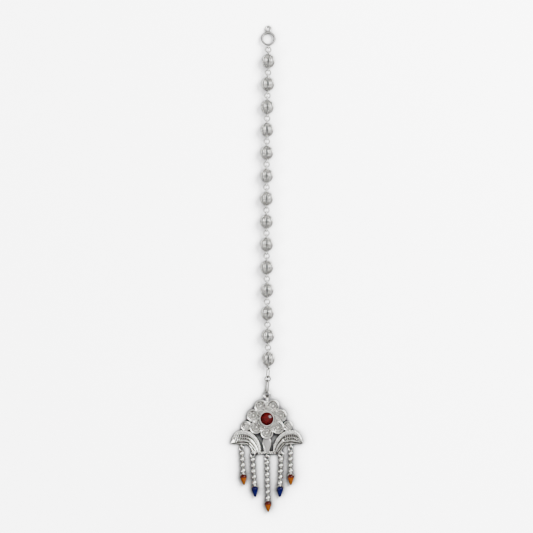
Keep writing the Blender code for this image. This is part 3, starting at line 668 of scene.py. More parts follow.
def worn(obj, name, slot, *nodes):
    """Name a finished piece, fix it to the jewel and hide the frame's parts that it stands for."""
    obj.name = name
    obj.data.name = name
    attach(obj, ROOT)
    if nodes:
        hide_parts(*nodes)
    return obj


def fed(tree, socket, value):
    """Link a socket to another one, or set it to a fixed value."""
    if isinstance(value, bpy.types.NodeSocket):
        tree.links.new(value, socket)
    else:
        socket.default_value = value


def maths(tree, operation, *values):
    """Work out one value from links and fixed numbers."""
    node = tree.nodes.new("ShaderNodeMath")
    node.operation = operation
    for socket, value in zip(node.inputs, values):
        fed(tree, socket, value)
    return node.outputs["Value"]


def mapped(tree, value, low, high, to_low, to_high, kind="LINEAR"):
    """Lay the range of a value onto another range."""
    node = tree.nodes.new("ShaderNodeMapRange")
    node.interpolation_type = kind
    names = ("Value", "From Min", "From Max", "To Min", "To Max")
    for name, given in zip(names, (value, low, high, to_low, to_high)):
        fed(tree, node.inputs[name], given)
    return node.outputs["Result"]


def noise(tree, scale, detail=2.0):
    """Noise that is fixed to the piece itself."""
    place = tree.nodes.new("ShaderNodeTexCoord")
    node = tree.nodes.new("ShaderNodeTexNoise")
    node.inputs["Scale"].default_value = scale
    node.inputs["Detail"].default_value = detail
    tree.links.new(place.outputs["Object"], node.inputs["Vector"])
    return node.outputs["Fac"]


def openness(tree, reach, samples):
    """How open a point is to its surroundings, within a reach."""
    node = tree.nodes.new("ShaderNodeAmbientOcclusion")
    node.samples = samples
    fed(tree, node.inputs["Distance"], reach)
    return node.outputs["AO"]


def coloured(tree, value, stops):
    """Colours laid along a value, from stops of place and colour."""
    node = tree.nodes.new("ShaderNodeValToRGB")
    node.color_ramp.interpolation = "EASE"
    elements = node.color_ramp.elements
    while len(elements) < len(stops):
        elements.new(0.5)
    for element, (place, colour) in zip(elements, stops):
        element.position = place
        element.color = (*colour, 1)
    tree.links.new(value, node.inputs["Fac"])
    return node.outputs["Color"]


def shade_and_patina_group():
    """Mask of the painted shade and patina in recesses, from how open each point is, and patches at the
    silver's own scale.
    """
    name = "grime"
    if name in bpy.data.node_groups:
        return bpy.data.node_groups[name]
    group = bpy.data.node_groups.new(name, "ShaderNodeTree")
    for socket in ("Reach", "Low", "High"):
        group.interface.new_socket(socket, in_out="INPUT", socket_type="NodeSocketFloat")
    for socket in ("Mask", "Patches"):
        group.interface.new_socket(socket, in_out="OUTPUT", socket_type="NodeSocketFloat")
    entry = group.nodes.new("NodeGroupInput").outputs
    leave = group.nodes.new("NodeGroupOutput").inputs
    open_part = openness(group, entry["Reach"], SHADE_AND_PATINA_SAMPLES)
    mask = mapped(group, open_part, entry["Low"], entry["High"], 1.0, 0.0, "SMOOTHSTEP")
    group.links.new(mask, leave["Mask"])
    group.links.new(noise(group, POLISH_PATCHES, 3.0), leave["Patches"])
    return group


def silver_material(name, roughness, dark, colour, shade_and_patina_tint, reach, low, high, bump, scale):
    """Silver with painted shade and patina in its recesses, patchy polish and a fine worked surface."""
    material = bpy.data.materials.new(name)
    material.use_nodes = True
    tree = material.node_tree
    shader = tree.nodes["Principled BSDF"]
    shader.inputs["Metallic"].default_value = 1.0
    grime = tree.nodes.new("ShaderNodeGroup")
    grime.node_tree = shade_and_patina_group()
    grime.inputs["Reach"].default_value = reach * MM
    grime.inputs["Low"].default_value = low
    grime.inputs["High"].default_value = high
    # Painted shade and patina: the less open a point is, the more its colour turns to the recess colour.
    tint = tree.nodes.new("ShaderNodeMix")
    tint.data_type = "RGBA"
    tree.links.new(maths(tree, "MULTIPLY", grime.outputs["Mask"], dark), tint.inputs["Factor"])
    tint.inputs["A"].default_value = (*colour, 1)
    tint.inputs["B"].default_value = (*shade_and_patina_tint, 1)
    tree.links.new(tint.outputs["Result"], shader.inputs["Base Color"])
    rough = mapped(tree, grime.outputs["Patches"], NOISE_LOW, NOISE_HIGH,
                   roughness * PATCHES_SMOOTHER, roughness * PATCHES_ROUGHER)
    tree.links.new(rough, shader.inputs["Roughness"])
    relief = tree.nodes.new("ShaderNodeBump")
    relief.inputs["Strength"].default_value = bump
    relief.inputs["Distance"].default_value = RELIEF_DEPTH
    tree.links.new(noise(tree, scale), relief.inputs["Height"])
    tree.links.new(relief.outputs["Normal"], shader.inputs["Normal"])
    return material


def glass_material(name, stops, shine, clouds):
    """Polished glass or stone whose colour runs along its own length."""
    material = bpy.data.materials.new(name)
    material.use_nodes = True
    tree = material.node_tree
    shader = tree.nodes["Principled BSDF"]
    shader.inputs["Metallic"].default_value = 0.0
    shader.inputs["Roughness"].default_value = GLASS_ROUGHNESS
    shader.inputs["IOR"].default_value = GLASS_INDEX
    shader.inputs["Specular IOR Level"].default_value = shine
    down = tree.nodes.new("ShaderNodeAttribute")
    down.attribute_name = "down"
    cloud = mapped(tree, noise(tree, GLASS_CLOUDS), NOISE_LOW, NOISE_HIGH, 1 - clouds / 2, 1 + clouds)
    tint = tree.nodes.new("ShaderNodeMix")
    tint.data_type = "RGBA"
    tint.blend_type = "MULTIPLY"
    tint.inputs["Factor"].default_value = 1.0
    tree.links.new(coloured(tree, down.outputs["Fac"], stops), tint.inputs["A"])
    tree.links.new(cloud, tint.inputs["B"])
    tree.links.new(tint.outputs["Result"], shader.inputs["Base Color"])
    return material


def finishes():
    """All materials by name, with the jewel's own made once."""
    if "polished silver" not in bpy.data.materials:
        look = bpy.context.scene.tikka_finish
        for name, (roughness, dark, colour, *rest) in SILVERS.items():
            silver_material(name, roughness, dark, colour or tuple(look.silver), tuple(look.shade_and_patina_colour), *rest)
        for name, (stops, shine, clouds) in GLASSES.items():
            core = tuple(getattr(look, name.split()[0]))
            glass_material(name, [(place, colour or core) for place, colour in stops], shine, clouds)
    return dict(bpy.data.materials.items())


def marked_down(obj, share):
    """Store for each point of a stone the share from 0 to 1 that its colour runs along."""
    layer = obj.data.attributes.new("down", "FLOAT", "POINT")
    for index, vertex in enumerate(obj.data.vertices):
        layer.data[index].value = share(vertex.co)
    return obj


def ball_point(latitude, turn, stand=0.0):
    """A point on the ball: latitude from the equator to a pole on Y, turn from straight up."""
    around = (BALL_RADIUS + stand) * math.cos(latitude)
    return Vector((around * math.sin(turn), (BALL_HALF_LENGTH + stand) * math.sin(latitude),
                   around * math.cos(turn)))


def gap_half_turn(latitude):
    """Half of a gap's width, as a turn round the ball, at a latitude."""
    share = min(1.0, abs(latitude) / GAP_END)
    return GAP_HALF_TURN * math.sqrt(1 - share ** 2) / max(POLE_LEAST, math.cos(latitude)) ** POLE_SPREAD


def from_gap(turn):
    """How far a turn round the ball is from the middle of the nearest gap."""
    return (turn + GAP_SECTOR / 2) % GAP_SECTOR - GAP_SECTOR / 2


def ball_shell(material):
    """The ball's pierced wall: a sphere whose meridians follow the gaps' edges."""
    quiet()
    bpy.ops.mesh.primitive_uv_sphere_add(segments=GAP_COUNT * GAP_FACES, ring_count=BALL_RINGS, radius=1.0)
    obj = bpy.context.object
    for vertex in obj.data.vertices:
        latitude = math.asin(max(-1.0, min(1.0, vertex.co.z)))
        turn = math.atan2(vertex.co.y, vertex.co.x)
        part = from_gap(turn)
        share = part / (GAP_SECTOR / 2)
        half = gap_half_turn(latitude)
        if abs(latitude) >= GAP_END:
            bent = part
        elif abs(share) <= GAP_SHARE:
            bent = share / GAP_SHARE * half
        else:
            rest = (abs(share) - GAP_SHARE) / (1 - GAP_SHARE)
            bent = math.copysign(half + rest * (GAP_SECTOR / 2 - half), share)
        vertex.co = ball_point(latitude, turn - part + bent, SHELL_STAND)
    bpy.ops.object.mode_set(mode="EDIT")
    bpy.ops.mesh.select_mode(type="FACE")
    bpy.ops.object.mode_set(mode="OBJECT")
    for polygon in obj.data.polygons:
        middle = polygon.center
        latitude = math.asin(max(-1.0, min(1.0, middle.y / BALL_HALF_LENGTH)))
        part = from_gap(math.atan2(middle.x, middle.z))
        polygon.select = abs(latitude) < GAP_END and abs(part) < gap_half_turn(latitude) * GAP_SLACK
    bpy.ops.object.mode_set(mode="EDIT")
    bpy.ops.mesh.delete(type="FACE")
    mended(obj)
    wall = obj.modifiers.new("wall", "SOLIDIFY")
    wall.thickness = BALL_WALL
    wall.offset = -1
    only(obj)
    bpy.ops.object.modifier_apply(modifier="wall")
    return painted(smoothed(obj), material)


def model_ball(finish, wires):
    """One pierced ball at the origin with its poles on Y, without its eyes."""
    parts = [ball_shell(finish["pale silver"])]
    edges = []
    ropes = []
    for gap in range(GAP_COUNT):
        middle = gap * GAP_SECTOR
        run = []
        for side in (1, -1):
            for k in range(-GAP_STEPS, GAP_STEPS):
                latitude = side * GAP_END * k / GAP_STEPS
                turn = middle + side * (gap_half_turn(latitude) + EDGE_INSET)
                run.append(ball_point(latitude, turn, EDGE_STAND))
        edges.append((run, wires.edge, True))
        seam = [ball_point(math.radians(d), middle + GAP_SECTOR / 2, SEAM_STAND) for d in SEAM_DEGREES]
        ropes += rope(dense(seam, ROPE_STEP), lambda point: point.normalized(), wires.rope, ROPE_PITCH)
    parts.append(wired(edges, finish["bright silver"]))
    parts.append(wired(ropes, finish["worked silver"], sides=4))
    for pole in (-1, 1):
        facing = Matrix.Rotation(-pole * math.pi / 2, 4, "X")
        ring = circle_points(COLLAR_RADIUS, 28, BALL_HALF_LENGTH - COLLAR_WIRE)
        collar = wired([(ring, COLLAR_WIRE, True)], finish["polished silver"])
        knob = grain(KNOB_RADIUS, KNOB_HEIGHT, BALL_HALF_LENGTH - KNOB_SINK, finish["polished silver"])
        parts += [placed(collar, facing), placed(knob, facing)]
    return joined(parts)


def eye_ring(finish, radius, wire):
    """A soldered eye, upright in the YZ plane."""
    ring = wired([(circle_points(radius, 24), wire, True)], finish["polished silver"], sides=8)
    return placed(ring, Matrix.Rotation(math.pi / 2, 4, "Y"))


def jump_ring(finish, radius, wire):
    """A flat jump ring with the fine gap where its cut ends meet."""
    run = [way(RING_CUT + (TURN - 2 * RING_CUT) * k / (RING_POINTS - 1)) * radius for k in range(RING_POINTS)]
    # Darker silver: partly painted shade.
    return wired([(run, wire, False)], finish["oxidised silver"], sides=8)


class TIKKA_OT_balls(bpy.types.Operator):
    """Model the pierced ball once and copy it down the chain with its eyes"""

    bl_idname = "tikka.balls"
    bl_label = "Pierced balls"

    def execute(self, context):
        """Model the ball and copy it to each place."""
        finish = finishes()
        pattern = model_ball(finish, context.scene.tikka_wires)
        eye = eye_ring(finish, EYE_RADIUS, EYE_WIRE)
        for number in range(1, BALL_COUNT + 1):
            node = f"ball_{number:02d}"
            middle = Matrix.Translation(node_middle(node))
            flat = Matrix.Rotation(math.pi / 2, 4, "Y") if number == BALL_COUNT else NO_TURN
            parts = [
                copied(pattern, middle),
                copied(eye, middle @ Matrix.Translation((0, EYE_REACH, 0))),
                copied(eye, middle @ Matrix.Translation((0, -EYE_REACH, 0)) @ flat),
            ]
            worn(joined(parts), f"pierced_ball_{number:02d}", "silver", node)
        bpy.data.objects.remove(pattern)
        bpy.data.objects.remove(eye)
        return {"FINISHED"}


class TIKKA_OT_rings(bpy.types.Operator):
    """Model the jump ring once and hook a copy between each two balls"""

    bl_idname = "tikka.rings"
    bl_label = "Chain rings"

    def execute(self, context):
        """Model the ring and copy it to each place."""
        pattern = jump_ring(finishes(), RING_RADIUS, RING_WIRE)
        first = head_place()
        for number in range(BALL_COUNT):
            node = f"chain_ring_{number:02d}"
            place = Matrix.Translation(node_middle(node))
            if number == 0:
                place = first @ Matrix.Translation((0, RING_RADIUS, 0))
            spin = Matrix.Rotation(math.radians(RING_FIRST_SPIN + RING_NEXT_SPIN * number), 4, "Z")
            worn(copied(pattern, place @ spin), f"jump_ring_{number:02d}", "silver", node)
        bpy.data.objects.remove(pattern)
        return {"FINISHED"}


def head_place():
    """The first ball's eye, with Y running down the slope of the end ring."""
    eye = node_middle("ball_01") + Vector((0, EYE_REACH, 0))
    reach = 2 * RING_RADIUS + END_RING_TIP
    fall = math.asin((eye.z - END_LOOP_WIRE) / reach)
    return along(eye, (0, math.cos(fall), -math.sin(fall)))


class TIKKA_OT_end_ring(bpy.types.Operator):
    """Model the end ring with its top loop and its lower eye"""

    bl_idname = "tikka.end_ring"
    bl_label = "End ring"

    def execute(self, context):
        """Model the end ring."""
        finish = finishes()
        silver = finish["polished silver"]
        foot = head_place() @ Matrix.Translation((0, 2 * RING_RADIUS, 0))
        ring = wired([(circle_points(END_RING_RADIUS, 64), END_RING_WIRE, True)], finish["frosted silver"],
                     sides=10)
        loop = wired([(circle_points(END_LOOP_RADIUS, 40), END_LOOP_WIRE, True)], silver, sides=8)
        parts = [
            placed(ring, foot @ Matrix.Translation((0, END_RING_MIDDLE, 0))),
            placed(loop, foot @ Matrix.Translation((0, END_LOOP_MIDDLE, 0))),
            placed(eye_ring(finish, EYE_RADIUS, EYE_WIRE), foot),
        ]
        worn(joined(parts), "hook_ring", "silver", "end_ring")
        return {"FINISHED"}


def oval_points(length, width, count=16):
    """Points round a long link's middle line, with its length on Y."""
    radius = width / 2
    reach = (length - width) / 2
    points = []
    for end in (1, -1):
        for k in range(count + 1):
            point = way(math.pi * k / count) * radius + Vector((0, reach, 0))
            points.append(point * end)
    return points


class TIKKA_OT_links(bpy.types.Operator):
    """Model the three links between the last ball and the bail"""

    bl_idname = "tikka.links"
    bl_label = "Lower links"

    def execute(self, context):
        """Model the three links where their nodes lie."""
        finish = finishes()
        top = node_middle(f"ball_{BALL_COUNT}") - Vector((0, EYE_REACH, 0))
        bottom = FLOWER + BAIL_MIDDLE + Vector((0, BAIL_RADIUS, 0))
        direction = (bottom - top).normalized()
        for node, length, width, wire, roll in LINKS:
            points = oval_points((length - 2 * wire) * MM, (width - 2 * wire) * MM)
            # Darker silver: partly painted shade.
            link = wired([(points, wire * MM, True)], finish["oxidised silver"], sides=8)
            placed(link, along(node_middle(node), direction, math.radians(roll)))
            worn(link, f"worn_{node}", "silver", node)
        return {"FINISHED"}


def rim_dip(bearing):
    """How far the petal's rim has sunk, 0 to 1, at a bearing from the way out of the flower."""
    share = min(1.0, max(0.0, (abs(bearing) - RIM_REACH) / RIM_FADE))
    return share * share * (3 - 2 * share)


def model_petal(finish, wires):
    """One cup petal at the origin, with the way out of the flower on +Y."""
    # Darker silver in the cup: partly painted shade.
    cup = turned(in_mm(PETAL_CUP), 56, finish["oxidised silver"])
    for vertex in cup.data.vertices:
        over = max(0.0, vertex.co.z - RIM_LOW)
        vertex.co.z -= over * rim_dip(math.atan2(vertex.co.x, vertex.co.y))
    seed = grain(PETAL_SEED_RADIUS, PETAL_SEED_HEIGHT, PETAL_FLOOR, finish["bright silver"], 20)
    runs = []
    for radius, height in in_mm(PETAL_ROPES):
        ring = circle_points(radius, round(TURN * radius / FINE_STEP), height)
        runs += rope(ring, UP, wires.rope, FINE_PITCH, closed=True)
    twisted = wired(runs, finish["worked silver"], sides=4)
    edge = []
    for k in range(2 * RIM_STEPS + 1):
        bearing = (RIM_REACH + RIM_FADE) * (k / RIM_STEPS - 1)
        height = RIM_MIDDLE - (RIM_MIDDLE - RIM_LOW + RIM_WIRE) * rim_dip(bearing)
        edge.append(Vector((math.sin(bearing) * RIM_RADIUS, math.cos(bearing) * RIM_RADIUS, height)))
    rim = wired([(edge, RIM_WIRE, False)], finish["bright silver"], sides=10)
    fine = []
    for count, near, low, far, high in PETAL_RAYS:
        for k in range(count):
            out = way(TURN * (k + 0.5) / count)
            fine.append(([(out * near + UP * low) * MM, (out * far + UP * high) * MM], wires.ray, False))
    rays = wired(fine, finish["worked silver"], sides=4)
    return joined([cup, rim, seed, twisted, rays])


class TIKKA_OT_flower(bpy.types.Operator):
    """Model the flower's seven petals, its back plate, bezel and corona"""

    bl_idname = "tikka.flower"
    bl_label = "Flower"

    def execute(self, context):
        """Model the petal once, copy it round, and add the back and the bezel."""
        finish = finishes()
        wires = context.scene.tikka_wires
        here = Matrix.Translation(FLOWER)
        pattern = model_petal(finish, wires)
        for number in range(PETAL_COUNT):
            bearing = -math.pi / 2 + TURN * number / PETAL_COUNT
            place = here @ Matrix.Translation(way(bearing) * PETAL_REACH)
            place = place @ Matrix.Rotation(bearing - math.pi / 2, 4, "Z")
            worn(copied(pattern, place), f"petal_{number + 1}", "silver", "pendant_frame")
        bpy.data.objects.remove(pattern)
        # Darker silver under the petals: partly painted shade.
        back = turned(in_mm(BACK_OUTLINE), 72, finish["oxidised silver"])
        worn(placed(back, here), "flower_back", "silver", "pendant_frame")
        rim = turned(in_mm(BEZEL_OUTLINE), 96, finish["polished silver"], closed=True)
        worn(placed(rim, here), "bezel", "silver", "pendant_frame")
        loops = []
        for k in range(CORONA_COUNT):
            middle = way(TURN * k / CORONA_COUNT) * CORONA_REACH + UP * CORONA_HEIGHT
            loops.append((circle_points(CORONA_RADIUS, 12, 0.0, middle), CORONA_WIRE, True))
        band = circle_points(BAND_RADIUS, BAND_POINTS, BAND_HEIGHT)
        band = rope(band, UP, wires.rope, BAND_PITCH, closed=True)
        band = wired(band, finish["worked silver"], sides=4)
        corona = joined([wired(loops, finish["worked silver"]), band])
        worn(placed(corona, here), "corona", "silver", "pendant_frame")
        return {"FINISHED"}


class TIKKA_OT_stone(bpy.types.Operator):
    """Cut the red centre stone"""

    bl_idname = "tikka.stone"
    bl_label = "Centre stone"

    def execute(self, context):
        """Cut a round of stone down with a plane for each facet."""
        finish = finishes()
        quiet()
        bpy.ops.mesh.primitive_cylinder_add(
            vertices=STONE_SIDES, radius=STONE_RADIUS, depth=STONE_TOP - STONE_CULET,
            location=(0, 0, (STONE_TOP + STONE_CULET) / 2))
        obj = bpy.context.object
        bpy.ops.object.transform_apply(location=True)
        crown = math.atan2(STONE_TOP - STONE_GIRDLE_TOP, STONE_RADIUS - STONE_TABLE)
        star_foot = STONE_TOP - math.tan(STONE_STAR_SLOPE) * (STONE_RADIUS - STONE_STAR)
        facet = TURN / STONE_FACETS
        cuts = []
        for k in range(STONE_FACETS):
            turn = STONE_TURN + facet * k
            cuts.append((turn, crown, STONE_GIRDLE_TOP, 1))
            cuts.append((turn, STONE_BACK_SLOPE, STONE_GIRDLE_FOOT, -1))
            cuts.append((turn + facet / 2, STONE_STAR_SLOPE, star_foot, 1))
        for k in range(2 * STONE_FACETS):
            turn = STONE_TURN + facet * (k + 0.5) / 2
            cuts.append((turn, crown + STONE_STEEPER, STONE_GIRDLE_TOP + STONE_SHIFT, 1))
            cuts.append((turn, STONE_LOWER_SLOPE, STONE_GIRDLE_FOOT - STONE_SHIFT, -1))
        bpy.ops.object.mode_set(mode="EDIT")
        for turn, slope, height, side in cuts:
            normal = way(turn) * math.sin(slope) + UP * side * math.cos(slope)
            point = way(turn) * STONE_RADIUS + UP * height
            bpy.ops.mesh.select_all(action="SELECT")
            bpy.ops.mesh.bisect(plane_co=point, plane_no=normal, use_fill=True, clear_outer=True)
        bpy.ops.object.mode_set(mode="OBJECT")
        mended(obj)
        painted(smoothed(obj, STONE_EDGE), finish["red stone"])
        # Painted shade: the share runs from the stone's middle to its girdle, so its colour darkens outwards.
        marked_down(obj, lambda point: point.xy.length / STONE_RADIUS)
        worn(placed(obj, Matrix.Translation(FLOWER)), "cut_stone", "red_stone", "centre_stone")
        return {"FINISHED"}


class TIKKA_OT_discs(bpy.types.Operator):
    """Model the two side discs with their spirals"""

    bl_idname = "tikka.discs"
    bl_label = "Side discs"

    def execute(self, context):
        """Model one disc and copy it to both sides."""
        finish = finishes()
        dish = turned(in_mm(DISC_OUTLINE), 48, finish["worked silver"])
        spiral = []
        for k in range(SPIRAL_POINTS):
            share = k / (SPIRAL_POINTS - 1)
            flat = way(TURN * SPIRAL_TURNS * share) * (SPIRAL_START - SPIRAL_FALL * share)
            spiral.append(flat + UP * (DISC_FLOOR + SPIRAL_STAND))
        coil = rope(spiral, UP, context.scene.tikka_wires.rope, FINE_PITCH)
        coil = wired(coil, finish["worked silver"], sides=4)
        seed = grain(DISC_SEED_RADIUS, DISC_SEED_HEIGHT, DISC_FLOOR, finish["polished silver"])
        pattern = joined([dish, coil, seed])
        for side, name in ((-1, "left"), (1, "right")):
            centre = FLOWER + Vector((side * DISC_PLACE.x, DISC_PLACE.y, 0))
            worn(copied(pattern, Matrix.Translation(centre)), f"side_disc_{name}", "silver", "pendant_frame")
        bpy.data.objects.remove(pattern)
        return {"FINISHED"}


def smooth_row(table, share):
    """The row at a share of a table's length, on a smooth curve through its rows."""
    last = len(table) - 1
    place = share * last
    index = min(int(place), last - 1)
    t = place - index
    rows = [table[max(0, min(last, index + k))] for k in (-1, 0, 1, 2)]
    return [0.5 * (2 * b + (c - a) * t + (2 * a - 5 * b + 4 * c - d) * t * t
                   + (3 * b - a - 3 * c + d) * t ** 3) for a, b, c, d in zip(*rows)]


def wing_point(share, across, height):
    """A point on the right wing, by its share from tip to root and its place across from the outer edge."""
    outer_across, outer_up, inner_across, inner_up, ledge = smooth_row(WING_SECTIONS, share)
    outer = Vector((WING_ROOT + WING_SPAN * outer_across, WING_FOOT + WING_RISE * outer_up, 0))
    inner = Vector((WING_ROOT + WING_SPAN * inner_across, WING_FOOT + WING_RISE * inner_up, 0))
    lip = inner + (inner - outer).normalized() * WING_LEDGE * ledge
    point = outer.lerp(inner, across) if across <= 1 else inner.lerp(lip, across - 1)
    return Vector((point.x, point.y, height))


def wing_body(material, dark):
    """The wing's carved body: a grid whose rows are laid on the wing's sections, painted black as shade in
    its grooves.
    """
    quiet()
    bpy.ops.mesh.primitive_grid_add(x_subdivisions=WING_STEPS, y_subdivisions=len(WING_PROFILE) - 1, size=1.0)
    obj = bpy.context.object
    for index, vertex in enumerate(obj.data.vertices):
        at_comb, comb, at_band, band = WING_PROFILE[index // (WING_STEPS + 1)]
        share = (index % (WING_STEPS + 1)) / WING_STEPS
        past = min(1.0, max(0.0, (share - COMB_END) / COMB_FADE))
        across = at_comb + (at_band - at_comb) * past
        height = comb + (band - comb) * past
        if CREST_FROM < across < CREST_TO:
            depth = min(1.0, share / CREST_TIP, (1 - share) / CREST_ROOT)
            crest = min(height, CREST_HEIGHT)
            height = crest + (CREST_END_HEIGHT - crest) * (1 - depth)
        vertex.co = wing_point(share, across, height * MM)
    painted(obj, material)
    obj.data.materials.append(dark)
    # Painted shade: faces in the comb trough and in the slit take the black material.
    for polygon in obj.data.polygons:
        row = polygon.index // WING_STEPS
        share = (polygon.index % WING_STEPS) / WING_STEPS
        strips = PAINTED_SHADE_AT_COMB if share < COMB_END + COMB_FADE / 2 else PAINTED_SHADE_PAST_COMB
        if COMB_START < share < PAINTED_SHADE_END and any(first <= row <= last for first, last in strips):
            polygon.material_index = 1
    only(obj)
    bpy.ops.object.mode_set(mode="EDIT")
    bpy.ops.mesh.select_mode(type="EDGE")
    bpy.ops.mesh.select_all(action="DESELECT")
    bpy.ops.mesh.select_non_manifold()
    bpy.ops.mesh.edge_face_add()
    bpy.ops.object.mode_set(mode="OBJECT")
    mended(obj)
    return smoothed(obj, WING_EDGE)


def wing_run(across, height, first, last, count=120):
    """Points along the wing at one place across it."""
    return [wing_point(first + (last - first) * k / (count - 1), across, height) for k in range(count)]


def even_shares(across, pitch, first, last, samples=400):
    """Shares along the wing that lie an even pitch apart."""
    points = wing_run(across, 0, first, last, samples + 1)
    length = 0.0
    shares = [first]
    for k in range(1, samples + 1):
        length += (points[k] - points[k - 1]).length
        if length >= pitch:
            shares.append(first + (last - first) * k / samples)
            length = 0.0
    return shares


def model_wing(finish, wires):
    """The right wing with its comb and its wires."""
    body = wing_body(finish["worked silver"], finish["black silver"])
    bars = []
    for share in even_shares(COMB_MEASURED, COMB_PITCH, COMB_FIRST, COMB_LAST):
        if share >= COMB_START:
            ends = [wing_point(share, COMB_OUTER, COMB_HEIGHT), wing_point(share, COMB_INNER, COMB_HEIGHT)]
            bars.append((ends, COMB_WIRE, False))
    *middle, wire = COMB_MIDDLE_WIRE
    bars.append((wing_run(*middle), wire, False))
    comb = wired(bars, finish["polished silver"])
    strips = wired([(wing_run(*run), wire, False) for *run, wire in WING_STRIPS], finish["bright silver"])
    runs = []
    for across, height in WING_ROPES:
        edge = wing_run(across, height, WING_ROPE_FROM, WING_ROPE_TO, WING_ROPE_POINTS)
        runs += rope(dense(edge, ROPE_STEP), UP, wires.rope, ROPE_PITCH)
    twist = wired(runs, finish["bright silver"], sides=4)
    return joined([body, comb, strips, twist])


class TIKKA_OT_wings(bpy.types.Operator):
    """Model the right crescent wing and mirror it to the left"""

    bl_idname = "tikka.wings"
    bl_label = "Wings"

    def execute(self, context):
        """Model one wing and mirror its copy."""
        pattern = model_wing(finishes(), context.scene.tikka_wires)
        here = Matrix.Translation(FLOWER)
        right = copied(pattern, here)
        left = mended(copied(pattern, here @ Matrix.Scale(-1, 4, (1, 0, 0))), merge=False)
        worn(right, "wing_right", "silver", "pendant_frame")
        worn(left, "wing_left", "silver", "pendant_frame")
        bpy.data.objects.remove(pattern)
        return {"FINISHED"}


def raised_plate(outline, top, bevel, material):
    """A flat plate from an outline, with a rounded top edge."""
    quiet()
    bpy.ops.mesh.primitive_circle_add(vertices=len(outline), radius=MM, fill_type="NGON")
    obj = bpy.context.object
    for vertex, point in zip(obj.data.vertices, outline):
        vertex.co = (point[0], point[1], 0)
    bpy.ops.object.mode_set(mode="EDIT")
    bpy.ops.mesh.select_all(action="SELECT")
    bpy.ops.mesh.extrude_region_move(TRANSFORM_OT_translate={"value": (0, 0, top)})
    bpy.ops.object.mode_set(mode="OBJECT")
    mended(obj)
    soft = obj.modifiers.new("edge", "BEVEL")
    soft.width = bevel
    soft.segments = 3
    soft.limit_method = "ANGLE"
    soft.angle_limit = math.radians(50)
    only(obj)
    bpy.ops.object.modifier_apply(modifier="edge")
    return painted(smoothed(obj), material)


class TIKKA_OT_middle(bpy.types.Operator):
    """Model the tear plate, the base bar, the bail and the hanger loops"""

    bl_idname = "tikka.middle"
    bl_label = "Tear plate, bar, bail and hangers"

    def execute(self, context):
        """Model each of the small soldered pieces."""
        finish = finishes()
        here = Matrix.Translation(FLOWER)
        side = [smooth_row(TEAR_OUTLINE, k / TEAR_STEPS) for k in range(TEAR_STEPS + 1)]
        right = [(half * TEAR_HALF_WIDTH, TEAR_TOP - down * (TEAR_TOP - TEAR_FOOT)) for down, half in side]
        left = [(-x, y) for x, y in reversed(right)]
        plate = raised_plate(right + left, TEAR_THICKNESS, TEAR_BEVEL, finish["frosted silver"])
        rim = [Vector((x * TEAR_RIM_SHARE, y - TEAR_RIM_SHIFT, TEAR_THICKNESS)) for x, y in right + left]
        outline = wired([(rim, TEAR_RIM_WIRE, True)], finish["bright silver"])
        worn(placed(joined([plate, outline]), here), "tear_plate", "silver", "pendant_frame")

        reach = BAR_HALF_LENGTH
        # Darker silver for the bar: partly painted shade.
        bar = raised_plate([(-reach, BAR_LOW), (reach, BAR_LOW), (reach, BAR_HIGH), (-reach, BAR_HIGH)],
                           BAR_THICKNESS, BAR_BEVEL, finish["oxidised silver"])
        loops = []
        for k in range(BAR_LOOPS):
            across = (k - (BAR_LOOPS - 1) / 2) * BAR_LOOP_PITCH
            centre = Vector((across, (BAR_LOW + BAR_HIGH) / 2, BAR_LOOP_HEIGHT))
            loops.append((circle_points(BAR_LOOP_RADIUS, 14, 0.0, centre), BAR_LOOP_WIRE, True))
        rings = wired(loops, finish["polished silver"])
        worn(placed(joined([bar, rings]), here), "base_bar", "silver", "pendant_frame")

        low, high = STEM_HALF_LOW, STEM_HALF_HIGH
        stem = raised_plate([(-low, STEM_LOW), (low, STEM_LOW), (high, STEM_HIGH), (-high, STEM_HIGH)],
                            STEM_TOP - STEM_FOOT, STEM_BEVEL, finish["worked silver"])
        placed(stem, Matrix.Translation((0, 0, STEM_FOOT)))
        seed = placed(grain(STEM_SEED_RADIUS, STEM_SEED_HEIGHT, STEM_TOP, finish["polished silver"]),
                      Matrix.Translation((0, (STEM_LOW + STEM_HIGH) / 2, 0)))
        ring = wired([(circle_points(BAIL_RADIUS, 40, 0.0, BAIL_MIDDLE), BAIL_WIRE, True)],
                     finish["polished silver"], sides=8)
        # Painted shadow: a black plate under the bail ring darkens what shows through its hole.
        corners = [(SHADOW_PATCH_LEFT, SHADOW_PATCH_LOW), (SHADOW_PATCH_RIGHT, SHADOW_PATCH_LOW), (SHADOW_PATCH_RIGHT, SHADOW_PATCH_HIGH), (SHADOW_PATCH_LEFT, SHADOW_PATCH_HIGH)]
        shadow_patch = raised_plate(corners, SHADOW_PATCH_THICKNESS, SHADOW_PATCH_BEVEL, finish["black silver"])
        placed(shadow_patch, Matrix.Translation((0, 0, STEM_FOOT)))
        worn(placed(joined([stem, shadow_patch, seed, ring]), here), "bail", "silver", "pendant_frame")

        hangers = []
        for _, across, up, _, _, _ in STRANDS:
            hole = Vector((across, up, HANGER_HEIGHT))
            hangers.append(placed(eye_ring(finish, EYE_RADIUS, EYE_WIRE), Matrix.Translation(hole)))
        worn(placed(joined(hangers), here), "hanger_loops", "silver", "pendant_frame")
        return {"FINISHED"}


def drop_distance(beads):
    """Distance from a strand's hanger to the middle of its drop's round top."""
    return FIRST_BEAD + (beads - 1) * BEAD_PITCH + DROP_PITCH


